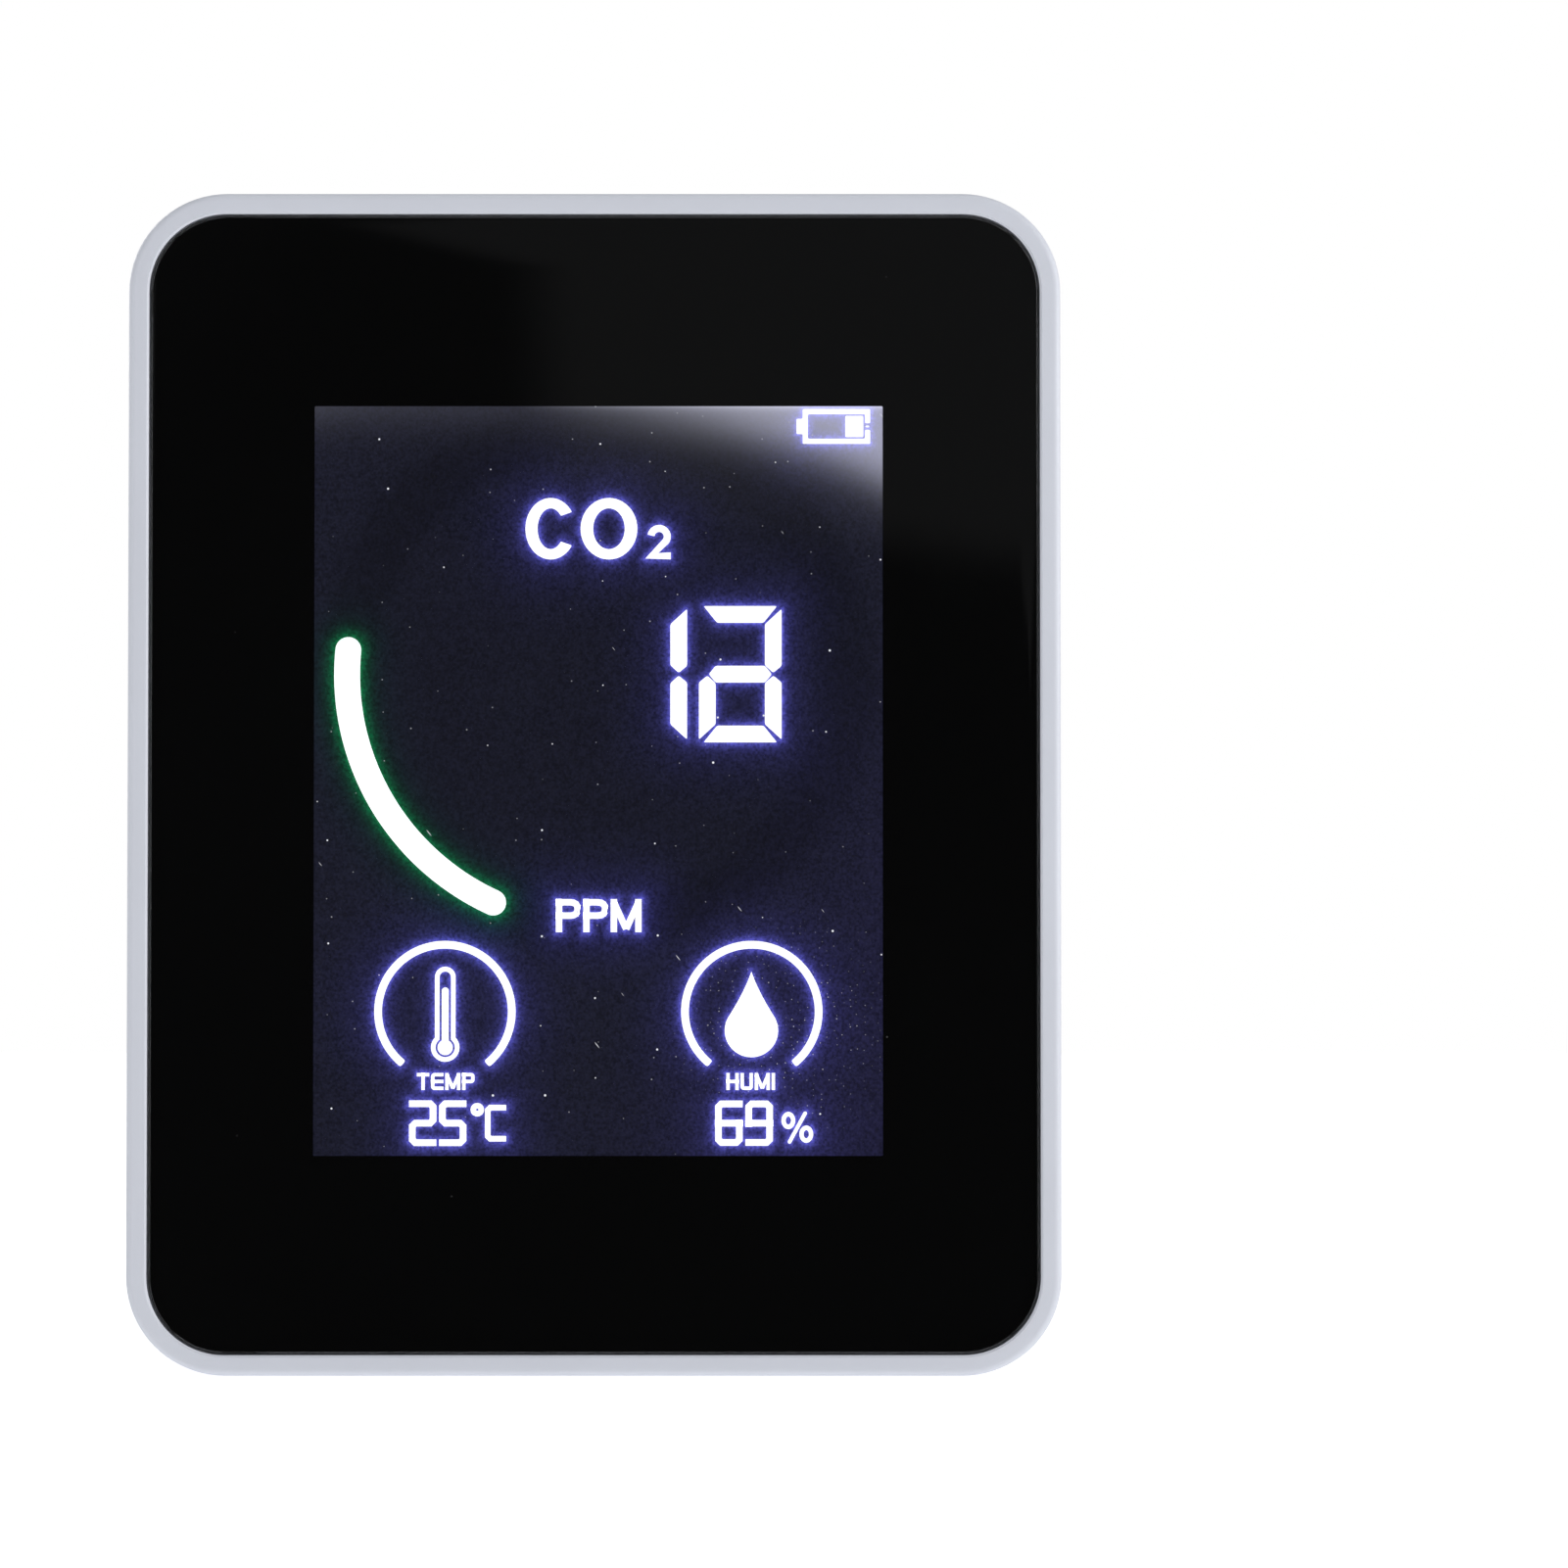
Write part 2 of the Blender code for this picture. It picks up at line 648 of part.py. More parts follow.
def usb_socket():
    """A small charging socket: a folded steel shell around a tongue."""
    middle = (USB_MOUTH_X - USB_LENGTH / 2, USB_Y, USB_Z)
    bevel = {"radius": 0.8 * MM, "along": 0, "steps": 1}

    def near_board(point):
        return point.y < 0

    shell = centred(USB_LENGTH, USB_HEIGHT, USB_WIDTH, where=near_board, **bevel)
    socket = piece("usb_socket", shell, "nickel_steel", middle)
    inner = block(
        (-USB_LENGTH / 2 + 1.2 * MM, -USB_HEIGHT / 2 + USB_SHELL, -USB_WIDTH / 2 + USB_SHELL),
        (USB_LENGTH / 2 + THROUGH, USB_HEIGHT / 2 - USB_SHELL, USB_WIDTH / 2 - USB_SHELL),
        where=near_board,
        **bevel,
    )
    cut(socket, "usb_mouth", inner, location=middle)
    tongue = centred(3.9 * MM, 0.6 * MM, 3.8 * MM)
    place = (USB_MOUTH_X - 2.6 * MM, USB_Y + 0.35 * MM, USB_Z)
    piece("usb_tongue", tongue, "black_epoxy", place)


def power_switch():
    """A side-pressed switch at the board's top edge, its plunger and the key above it."""
    body_low = (BUTTON_X - 3.5 * MM, BOARD_REAR_Y + REST_GAP, SWITCH_TOP - 3.5 * MM)
    body_high = (BUTTON_X + 3.5 * MM, BOARD_REAR_Y + REST_GAP + 4 * MM, SWITCH_TOP)
    body = piece("switch_body", block(body_low, body_high), "black_epoxy")
    bore_floor = SWITCH_TOP - 1.5 * MM
    bore = bmesh.new()
    bore_end = (BUTTON_X, BUTTON_Y, SWITCH_TOP + THROUGH)
    add_rod(bore, 1.35 * MM, (BUTTON_X, BUTTON_Y, bore_floor), bore_end)
    cut(body, "switch_bore", bore)

    plunger = bmesh.new()
    plunger_foot = (BUTTON_X, BUTTON_Y, bore_floor + BUTTON_TRAVEL + REST_GAP)
    add_rod(plunger, 1.2 * MM, plunger_foot, (BUTTON_X, BUTTON_Y, PLUNGER_TOP))
    plunger = piece("switch_plunger", plunger, "key_plastic")

    cap = stadium(BUTTON_WIDTH, BUTTON_DEPTH, CASE_HEIGHT - WALL - 2 * MM, CASE_HEIGHT + BUTTON_STAND)
    round_rim(cap, CASE_HEIGHT + BUTTON_STAND, 0.4 * MM, 2, along=2)
    key = piece("power_button", cap, "key_plastic")
    flange_top = CASE_HEIGHT - WALL - FIT
    flange = stadium(BUTTON_WIDTH + 2 * MM, BUTTON_DEPTH + 2 * MM, flange_top - 1 * MM, flange_top)
    join(key, "button_flange", flange)
    stem = bmesh.new()
    stem_foot = (BUTTON_X, BUTTON_Y, PLUNGER_TOP + REST_GAP)
    add_rod(stem, 1.3 * MM, stem_foot, (BUTTON_X, BUTTON_Y, flange_top - 0.5 * MM), 12)
    join(key, "button_stem", stem)
    hang_on("button_axis", (BUTTON_X, BUTTON_Y, CASE_HEIGHT), [key, plunger])


def stadium(width, depth, low_z, high_z):
    """An upright plate with round ends, around the key's axis."""
    return block(
        (BUTTON_X - width / 2, BUTTON_Y - depth / 2, low_z),
        (BUTTON_X + width / 2, BUTTON_Y + depth / 2, high_z),
        radius=depth * 0.49,
        along=2,
        steps=6,
    )


# Battery


def battery():
    """A pouch cell on a foam pad, its lead and its plug."""
    x = BATTERY_X
    z = BATTERY_Z
    y = BOARD_REAR_Y + REST_GAP
    piece("battery_pad", centred(28 * MM, 1 * MM, 38 * MM), "foam_tape", (x, y + 0.5 * MM, z))
    y += 1 * MM + REST_GAP
    depth = 6 * MM
    pouch = centred(34 * MM, depth, 46 * MM, radius=2 * MM, steps=3)
    round_rim(pouch, -depth / 2, 1.2 * MM, 2)
    round_rim(pouch, depth / 2, 1.2 * MM, 2)
    piece("battery_pack", pouch, "battery_pouch", (x, y + depth / 2, z))

    socket_height = 4.6 * MM
    socket_x = 10.5 * MM
    socket_z = 61 * MM
    place = on_board(socket_x, socket_z, socket_height)
    socket = piece("battery_socket", centred(8 * MM, socket_height, 6 * MM), "white_pbt", place)
    mouth = block((-3.2 * MM, -1.5 * MM, -2 * MM), (3.2 * MM, 1.5 * MM, 2 * MM + THROUGH))
    cut(socket, "battery_socket_mouth", mouth, location=place)
    plug_z = socket_z + 1.6 * MM
    plug = centred(5.8 * MM, 2.4 * MM, 5.6 * MM, radius=0.4 * MM, along=2, steps=1)
    piece("battery_plug", plug, "white_pbt", (socket_x, place[1], plug_z))

    lead_start_z = z + 23 * MM + FIT
    lead_end_z = plug_z + 2.8 * MM + FIT
    wire_y = y + depth / 2
    for name, start_x, end_x, rise, material in (
        ("battery_lead_positive", -3 * MM, 9.4 * MM, 4.6 * MM, "red_sleeve"),
        ("battery_lead_negative", -6 * MM, 11.6 * MM, 6.8 * MM, "black_sleeve"),
    ):
        bend = (end_x - start_x) / 4
        crest = lead_end_z + rise - 2 * MM
        route = [
            (start_x, wire_y, lead_start_z),
            (start_x + 0.4 * MM, wire_y, lead_start_z + 2 * MM),
            (start_x + bend, wire_y - 0.8 * MM, crest),
            (end_x - bend, wire_y - 1.6 * MM, crest),
            (end_x, place[1], lead_end_z + 1.5 * MM),
            (end_x, place[1], lead_end_z),
        ]
        wire(name, route, 0.55 * MM, material)


# Rear cover and stand


def rear_cover():
    """The rear shell, with its vents, screw posts, port, key hole and the stand's recess."""
    split = SPLIT_Y + SPLIT_GAP / 2
    bm = case_block(0, split, REAR_Y)
    round_rim(bm, REAR_Y, REAR_EDGE, 4)
    cover = piece("rear_cover", bm, "white_abs")
    inner_y = REAR_Y - WALL
    cut(cover, "cover_cavity", case_block(WALL, split - THROUGH, inner_y))
    groove_y = split - SPLIT_GAP + LIP_DEPTH + FIT
    groove_inset = WALL - LIP_THICKNESS - FIT
    cut(cover, "cover_groove", case_block(groove_inset, split - THROUGH, groove_y))

    half = STAND_WIDTH / 2 + STAND_SLACK
    recess_low = (-half, RECESS_FLOOR_Y, STAND_TIP_Z - 1.2 * MM)
    recess_high = (half, REAR_Y + THROUGH, STAND_AXIS_Z + STAND_KNUCKLE_R + STAND_SLACK)
    recess = block(recess_low, recess_high)
    backing = block(
        (-half - WALL, RECESS_FLOOR_Y - 1.6 * MM, WALL / 2),
        (half + WALL, inner_y + WALL / 2, recess_high[2] + WALL),
    )
    posts = bmesh.new()
    for x, z in CASE_SCREWS:
        add_rod(posts, CASE_POST_R, (x, BOARD_REAR_Y + FIT, z), (x, inner_y + WALL / 2, z))
    join(cover, "cover_recess_backing", backing)
    join(cover, "cover_posts", posts)
    cut(cover, "cover_recess", recess)

    bores = bmesh.new()
    for x, z in CASE_SCREWS:
        add_rod(bores, CASE_HOLE_R, (x, BOARD_REAR_Y - THROUGH, z), (x, REAR_Y + THROUGH, z), 12)
    cut(cover, "cover_screw_holes", bores)
    seats = bmesh.new()
    for x, z in CASE_SCREWS:
        add_rod(seats, COUNTERBORE_R, (x, HEAD_SEAT_Y, z), (x, REAR_Y + THROUGH, z))
    cut(cover, "cover_screw_seats", seats)
    hinge = bmesh.new()
    reach = half + 1.4 * MM
    add_rod(
        hinge,
        STAND_BORE_R,
        (-reach, STAND_AXIS_Y, STAND_AXIS_Z),
        (reach, STAND_AXIS_Y, STAND_AXIS_Z),
    )
    cut(cover, "cover_hinge_holes", hinge)

    cut(cover, "cover_vents", rear_vents(inner_y))
    cut(cover, "cover_side_vents", side_vents())
    port = block(
        (CASE_WIDTH / 2 - WALL - THROUGH, USB_Y - 2 * MM, USB_Z - 4.3 * MM),
        (CASE_WIDTH / 2 + THROUGH, USB_Y + 2 * MM, USB_Z + 4.3 * MM),
        radius=1 * MM,
        along=0,
        steps=SMALL_STEPS,
    )
    cut(cover, "cover_port", port)
    key_hole = stadium(
        BUTTON_WIDTH + 2 * BUTTON_SLACK,
        BUTTON_DEPTH + 2 * BUTTON_SLACK,
        CASE_HEIGHT - WALL - THROUGH,
        CASE_HEIGHT + THROUGH,
    )
    cut(cover, "cover_key_hole", key_hole)


def rear_vents(inner_y):
    bm = bmesh.new()
    for index in range(VENT_COUNT):
        x = (index - (VENT_COUNT - 1) / 2) * VENT_PITCH
        low = (x - VENT_WIDTH / 2, inner_y - THROUGH, VENT_LOW_Z)
        high = (x + VENT_WIDTH / 2, REAR_Y + THROUGH, VENT_HIGH_Z)
        add_block(bm, low, high, radius=VENT_WIDTH * 0.49, steps=3)
    return bm


def side_vents():
    """Short slots through both side walls, beside the sensors."""
    bm = bmesh.new()
    for side in (-1, 1):
        wall_x = side * (CASE_WIDTH / 2 - WALL / 2)
        for index in range(SIDE_VENT_COUNT):
            z = SIDE_VENT_MIDDLE_Z + (index - (SIDE_VENT_COUNT - 1) / 2) * SIDE_VENT_PITCH
            low = (wall_x - THROUGH, -1 * MM, z - VENT_WIDTH / 2)
            high = (wall_x + THROUGH, 8 * MM, z + VENT_WIDTH / 2)
            add_block(bm, low, high, radius=VENT_WIDTH * 0.49, along=0, steps=3)
    return bm


def dust_mesh():
    """A fine mesh on the inside of the rear vents."""
    half = (VENT_COUNT / 2) * VENT_PITCH + 1 * MM
    inner_y = REAR_Y - WALL - REST_GAP
    bm = block(
        (-half, inner_y - 0.3 * MM, VENT_LOW_Z - 2.5 * MM),
        (half, inner_y, VENT_HIGH_Z + 2.5 * MM),
    )
    piece("dust_mesh", bm, "vent_fabric")


def screw(name, x, z, seat_y, length):
    """A pan-head screw with a cross recess, pointing towards the front."""
    head_r = 2.1 * MM
    head_height = 1.3 * MM
    profile = [
        (0, head_height),
        (head_r * 0.7, head_height),
        (head_r, head_height * 0.55),
        (head_r, 0),
        (SHANK_R, 0),
        (SHANK_R, -length + 1 * MM),
        (0, -length),
    ]
    place = (x, seat_y + REST_GAP, z)
    made = turned(name, profile, "nickel_steel", place, FACE_REAR, 14)
    cross = bmesh.new()
    arm = 1.2 * MM
    width = 0.25 * MM
    floor = head_height * 0.35
    add_block(cross, (-arm, -width, floor), (arm, width, head_height + THROUGH))
    cut(made, name + "_slot_a", cross, location=place, rotation=FACE_REAR)
    other = block((-width, -arm, floor), (width, arm, head_height + THROUGH))
    cut(made, name + "_slot_b", other, location=place, rotation=FACE_REAR)


def screws():
    for number, (x, z) in enumerate(BOARD_SCREWS, 1):
        screw(f"board_screw_{number}", x, z, BOARD_REAR_Y, 6 * MM)
    for number, (x, z) in enumerate(CASE_SCREWS, 1):
        screw(f"case_screw_{number}", x, z, HEAD_SEAT_Y, 17 * MM)


def rear_stand():
    """A plate that swings out of the rear cover about a steel pin, with two rubber pads."""
    half = STAND_WIDTH / 2
    rear_y = STAND_AXIS_Y + STAND_KNUCKLE_R
    low = (-half, rear_y - STAND_THICKNESS, STAND_TIP_Z)
    high = (half, rear_y, STAND_AXIS_Z)

    def at_tip(point):
        return point.z < STAND_AXIS_Z / 2

    bm = block(low, high, radius=4 * MM, steps=5, where=at_tip)
    stand = piece("rear_stand", bm, "white_abs")
    knuckle = bmesh.new()
    add_rod(
        knuckle,
        STAND_KNUCKLE_R,
        (-half, STAND_AXIS_Y, STAND_AXIS_Z),
        (half, STAND_AXIS_Y, STAND_AXIS_Z),
        20,
    )
    join(stand, "stand_knuckle", knuckle)
    bore = bmesh.new()
    reach = half + THROUGH
    add_rod(
        bore,
        STAND_BORE_R,
        (-reach, STAND_AXIS_Y, STAND_AXIS_Z),
        (reach, STAND_AXIS_Y, STAND_AXIS_Z),
    )
    cut(stand, "stand_bore", bore)
    notch = bmesh.new()
    add_rod(notch, 7 * MM, (0, 0, STAND_TIP_Z - 3 * MM), (0, 2 * REAR_Y, STAND_TIP_Z - 3 * MM), 24)
    cut(stand, "stand_finger_notch", notch)
    hollow = block(
        (-half + 5 * MM, rear_y - 0.6 * MM, STAND_TIP_Z + 12 * MM),
        (half - 5 * MM, rear_y + THROUGH, STAND_AXIS_Z - 6 * MM),
        radius=3 * MM,
        steps=SMALL_STEPS,
    )
    cut(stand, "stand_hollow", hollow)

    pads = []
    seats = bmesh.new()
    pad_z = STAND_TIP_Z + 1.5 * MM
    for side, sign in (("left", -1), ("right", 1)):
        x = sign * 14 * MM
        seat_low = (x - PAD_WIDTH / 2 - FIT, rear_y - PAD_THICKNESS, pad_z - FIT)
        seat_high = (x + PAD_WIDTH / 2 + FIT, rear_y + THROUGH, pad_z + PAD_HEIGHT + FIT)
        add_block(seats, seat_low, seat_high, radius=1.5 * MM, steps=SMALL_STEPS)
        pad = centred(PAD_WIDTH, PAD_THICKNESS, PAD_HEIGHT, radius=1.3 * MM, steps=SMALL_STEPS)
        place = (x, rear_y - PAD_THICKNESS / 2 + REST_GAP, pad_z + PAD_HEIGHT / 2)
        pads.append(piece("stand_pad_" + side, pad, "black_rubber", place))
    cut(stand, "stand_pad_seats", seats)
    axis = (0, STAND_AXIS_Y, STAND_AXIS_Z)
    bpy.context.view_layer.update()
    hang_on("stand_axis", axis, [stand, *pads])

    pin = bmesh.new()
    pin_reach = half + STAND_SLACK + 1.1 * MM
    add_rod(pin, STAND_PIN_R, (-pin_reach, 0, 0), (pin_reach, 0, 0))
    piece("stand_pin", pin, "nickel_steel", axis)




def main():
    clear_scene()
    front_frame()
    front_lens()
    lens_mask()
    lens_tape()
    floor_y = display_layers()
    backlight_tray(floor_y)
    led_strip(floor_y)
    display_ribbon(BEHIND_MASK_Y + FILM + 2 * (GLASS + FILM_GAP))
    main_board()
    board_parts()
    humidity_sensor()
    buzzer()
    gas_sensor()
    usb_socket()
    power_switch()
    battery()
    rear_cover()
    dust_mesh()
    screws()
    rear_stand()


main()
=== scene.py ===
"""The looks of the desk carbon dioxide monitor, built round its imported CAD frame.

Metres, +Z up, the display faces -Y. Shells, panel, display, key, stand, port and
screws are rebuilt finely over their CAD nodes; the parts inside keep their CAD
shape and get their own materials.
"""

import json
import math

import bmesh
import bpy
import numpy as np
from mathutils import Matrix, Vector


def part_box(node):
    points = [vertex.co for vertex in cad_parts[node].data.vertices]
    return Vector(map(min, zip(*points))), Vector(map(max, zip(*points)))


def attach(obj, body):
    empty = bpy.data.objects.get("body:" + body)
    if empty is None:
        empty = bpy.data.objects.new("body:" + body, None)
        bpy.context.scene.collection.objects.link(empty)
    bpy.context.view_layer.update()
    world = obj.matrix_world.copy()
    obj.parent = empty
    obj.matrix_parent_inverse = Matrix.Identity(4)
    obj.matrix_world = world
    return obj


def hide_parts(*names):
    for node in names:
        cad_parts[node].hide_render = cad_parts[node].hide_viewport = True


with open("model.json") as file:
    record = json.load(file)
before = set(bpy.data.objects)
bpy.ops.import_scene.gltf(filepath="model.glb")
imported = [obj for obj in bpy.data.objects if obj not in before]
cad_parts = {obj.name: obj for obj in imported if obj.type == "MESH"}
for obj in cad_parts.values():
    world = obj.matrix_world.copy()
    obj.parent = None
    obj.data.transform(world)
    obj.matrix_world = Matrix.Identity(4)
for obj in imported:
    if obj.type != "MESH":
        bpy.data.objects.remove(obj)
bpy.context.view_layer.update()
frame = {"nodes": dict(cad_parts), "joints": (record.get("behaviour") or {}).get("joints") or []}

MM = 0.001

# ---------------------------------------------------------------- sizes
# Low and high corners of the CAD nodes that are used more than once.
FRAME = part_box("front_frame")
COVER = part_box("rear_cover")
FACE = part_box("front_polariser")
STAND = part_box("rear_stand")
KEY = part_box("power_button")
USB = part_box("usb_socket")
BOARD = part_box("main_board")
JOINTS = {joint["name"]: joint for joint in frame["joints"]}
STAND_AXIS = Vector(JOINTS["stand_fold"]["pos_m"])

CASE_WIDTH = FRAME[1].x - FRAME[0].x
CASE_HEIGHT = FRAME[1].z - FRAME[0].z
CASE_CENTRE = (0.0, CASE_HEIGHT / 2)
CASE_CORNER = 9.5 * MM
WALL = 2 * MM
FRONT_Y = FRAME[0].y
REAR_Y = COVER[1].y
SEAM = 0.12 * MM
LIP_DEPTH = 1.2 * MM
COVER_SPLIT_Y = COVER[0].y
FRAME_SPLIT_Y = COVER_SPLIT_Y - 0.3 * MM
LIP_END_Y = FRAME_SPLIT_Y + LIP_DEPTH
LEDGE_Y = FRONT_Y + 2.55 * MM
LEDGE_REAR_Y = LEDGE_Y + 1.5 * MM
INNER_Y = REAR_Y - WALL
BOARD_SCREWS = [(x * MM, z * MM) for x in (-35, 35) for z in (18, 96)]
CASE_SCREWS = [(x * MM, z * MM) for x in (-38, 38) for z in (8, 106)]
CASE_POST_R = 3.2 * MM
HEAD_SEAT_Y = 9.2 * MM
RECESS_FLOOR_Y = REAR_Y - 2.8 * MM
STAND_BORE_R = 0.66 * MM
VENT_COUNT = 9
VENT_PITCH = 5.5 * MM
VENT_WIDTH = 2 * MM
VENT_SPAN = (75 * MM, 97 * MM)
SIDE_VENT_COUNT = 6
SIDE_VENT_PITCH = 4.5 * MM
SIDE_VENT_MIDDLE = 86 * MM
SIDE_VENT_SPAN = (-1 * MM, 8 * MM)
THROUGH = 3 * MM
# A corner radius of almost half the width gives a round end with no edge of no length.
HALF_ROUND = 0.499

WINDOW_X = (FACE[0].x + FACE[1].x) / 2
WINDOW_Z = (FACE[0].z + FACE[1].z) / 2
WINDOW_WIDTH = 55 * MM
WINDOW_HEIGHT = 72.5 * MM
FACE_Y = FACE[0].y
SIGN_THICKNESS = 0.05 * MM
SIGN_LIFT = 0.02 * MM
GLOW_PITCH = 0.25 * MM

CORNER_STEPS = 20
EDGE_STEPS = 5
SHARP_ANGLE = math.radians(32)


# ---------------------------------------------------------------- mesh tools
def mesh_object(name, bm, smooth=True):
    """A mesh object in the scene, with its round faces shaded smooth."""
    bmesh.ops.recalc_face_normals(bm, faces=bm.faces)
    mesh = bpy.data.meshes.new(name)
    bm.to_mesh(mesh)
    bm.free()
    if smooth:
        mesh.shade_smooth()
        mesh.set_sharp_from_angle(angle=SHARP_ANGLE)
    made = bpy.data.objects.new(name, mesh)
    bpy.context.scene.collection.objects.link(made)
    return made


def settle(obj):
    """Applies an object's modifiers to its mesh."""
    graph = bpy.context.evaluated_depsgraph_get()
    mesh = bpy.data.meshes.new_from_object(obj.evaluated_get(graph), depsgraph=graph)
    obj.modifiers.clear()
    obj.data = mesh
    mesh.shade_smooth()
    mesh.set_sharp_from_angle(angle=SHARP_ANGLE)


def combine(target, *steps):
    """Joins ("UNION") or cuts ("DIFFERENCE") the target with each mesh after the word."""
    tools = []
    for step in steps:
        if isinstance(step, str):
            operation = step
            continue
        tool = mesh_object("tool", step, smooth=False)
        modifier = target.modifiers.new("combine", "BOOLEAN")
        modifier.operation = operation
        modifier.solver = "EXACT"
        modifier.object = tool
        tools.append(tool)
    settle(target)
    for tool in tools:
        bpy.data.objects.remove(tool)


def show(obj, body, slot, look, *nodes):
    """Puts a piece on its body, in place of its CAD nodes, with its material."""
    obj.data.materials.clear()
    obj.data.materials.append(look)
    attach(obj, body)
    if nodes:
        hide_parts(*nodes)
    return obj


def arc(centre, radius, start, end, steps):
    """Points on a circle, from one angle to another in degrees."""
    points = []
    for step in range(steps + 1):
        angle = math.radians(start + (end - start) * step / steps)
        points.append(
            (centre[0] + radius * math.cos(angle), centre[1] + radius * math.sin(angle))
        )
    return points


def rounded_rectangle(width, height, radius, steps=CORNER_STEPS):
    """A rectangle with round corners about the origin, anticlockwise."""
    points = []
    for quarter, (side, rise) in enumerate(((1, 1), (-1, 1), (-1, -1), (1, -1))):
        centre = (side * (width / 2 - radius), rise * (height / 2 - radius))
        for point in arc(centre, radius, 90 * quarter, 90 * quarter + 90, steps):
            if not points or math.dist(point, points[-1]) > 1e-7:
                points.append(point)
    if math.dist(points[0], points[-1]) < 1e-7:
        points.pop()
    return points


def facing_y(centre):
    """Puts an outline's point at a depth along Y, round a centre (x, z)."""
    return lambda point, depth: (centre[0] + point[0], depth, centre[1] + point[1])


def facing_x(centre):
    """Puts an outline's point at a depth along X, round a centre (y, z)."""
    return lambda point, depth: (depth, centre[0] + point[0], centre[1] + point[1])


def facing_z(centre):
    """Puts an outline's point at a depth along Z, round a centre (x, y)."""
    return lambda point, depth: (centre[0] + point[0], centre[1] + point[1], depth)


def middle_of(corners, axes):
    """The middle of a box, given as its low and high corners, on two axes such as "xz"."""
    low, high = corners
    return tuple((getattr(low, axis) + getattr(high, axis)) / 2 for axis in axes)


def size_of(corners, axes):
    low, high = corners
    return tuple(getattr(high, axis) - getattr(low, axis) for axis in axes)


def add_tube(bm, loops, ring=False):
    """Joins loops of corners into a tube, with closed ends or, as a ring, with none."""
    for low, high in zip(loops, loops[1:] + loops[:1] if ring else loops[1:]):
        for index in range(len(low)):
            after = (index + 1) % len(low)
            bm.faces.new((low[index], low[after], high[after], high[index]))
    if not ring:
        bm.faces.new(loops[0])
        bm.faces.new(loops[-1])


def add_loft(bm, size, radius, profile, place, steps=CORNER_STEPS, ring=False):
    """A solid whose section is a rounded rectangle, drawn in by the profile's inset at each depth.

    A ring profile closes on itself and leaves the middle open.
    """
    loops = []
    for inset, depth in profile:
        corner = max(radius - inset, 0.05 * MM)
        outline = rounded_rectangle(size[0] - 2 * inset, size[1] - 2 * inset, corner, steps)
        loops.append([bm.verts.new(place(point, depth)) for point in outline])
    add_tube(bm, loops, ring)


def loft(size, radius, profile, place, **options):
    bm = bmesh.new()
    add_loft(bm, size, radius, profile, place, **options)
    return bm


def quarter_turn(steps):
    """(1 - sine, 1 - cosine) at even steps through a quarter turn."""
    turns = [math.radians(90 * step / steps) for step in range(steps + 1)]
    return [(1 - math.sin(turn), 1 - math.cos(turn)) for turn in turns]


def edge_profile(low, high, low_edge, high_edge, steps=EDGE_STEPS):
    """A plate's profile between two depths, with its outline rounded at each face."""
    turns = quarter_turn(steps)
    profile = [(low_edge * sine, low + low_edge * cosine) for sine, cosine in turns]
    return profile + [(high_edge * cosine, high - high_edge * sine) for sine, cosine in turns]


def mouth_profile(inside, surface, outside, edge, steps=4):
    """A cutter's profile that leaves a rounded edge where it comes out of a surface."""
    way = 1 if outside > inside else -1
    curve = [(-edge * cosine, surface - way * edge * sine) for sine, cosine in quarter_turn(steps)]
    return [(0, inside), *curve, (-edge, outside)]


def case_loft(profile, steps=CORNER_STEPS, ring=False):
    """A solid of the case's own outline, drawn in by the profile."""
    size = (CASE_WIDTH, CASE_HEIGHT)
    return loft(size, CASE_CORNER, profile, facing_y(CASE_CENTRE), steps=steps, ring=ring)


def add_box(bm, low, high):
    low = Vector(low)
    high = Vector(high)
    verts = bmesh.ops.create_cube(bm, size=1.0)["verts"]
    bmesh.ops.scale(bm, vec=high - low, verts=verts)
    bmesh.ops.translate(bm, vec=(low + high) / 2, verts=verts)


def box(low, high):
    bm = bmesh.new()
    add_box(bm, low, high)
    return bm


def add_post(bm, radius, place, low, high, steps=8):
    """A round post or hole, with four times steps sides."""
    add_loft(bm, (2 * radius, 2 * radius), radius, [(0, low), (0, high)], place, steps=steps)


def add_turned(bm, profile, place, steps=32):
    """A solid turned about its own axis, from a profile of (radius, depth)."""
    loops = []
    for radius, depth in profile:
        if radius < 1e-7:
            loops.append([bm.verts.new(place((0, 0), depth))])
            continue
        ring = arc((0, 0), radius, 0, 360, steps)[:-1]
        loops.append([bm.verts.new(place(point, depth)) for point in ring])
    for low, high in zip(loops, loops[1:]):
        for index in range(steps):
            after = (index + 1) % steps
            corners = [low[index % len(low)], low[after % len(low)]]
            corners += [high[after % len(high)], high[index % len(high)]]
            bm.faces.new(list(dict.fromkeys(corners)))


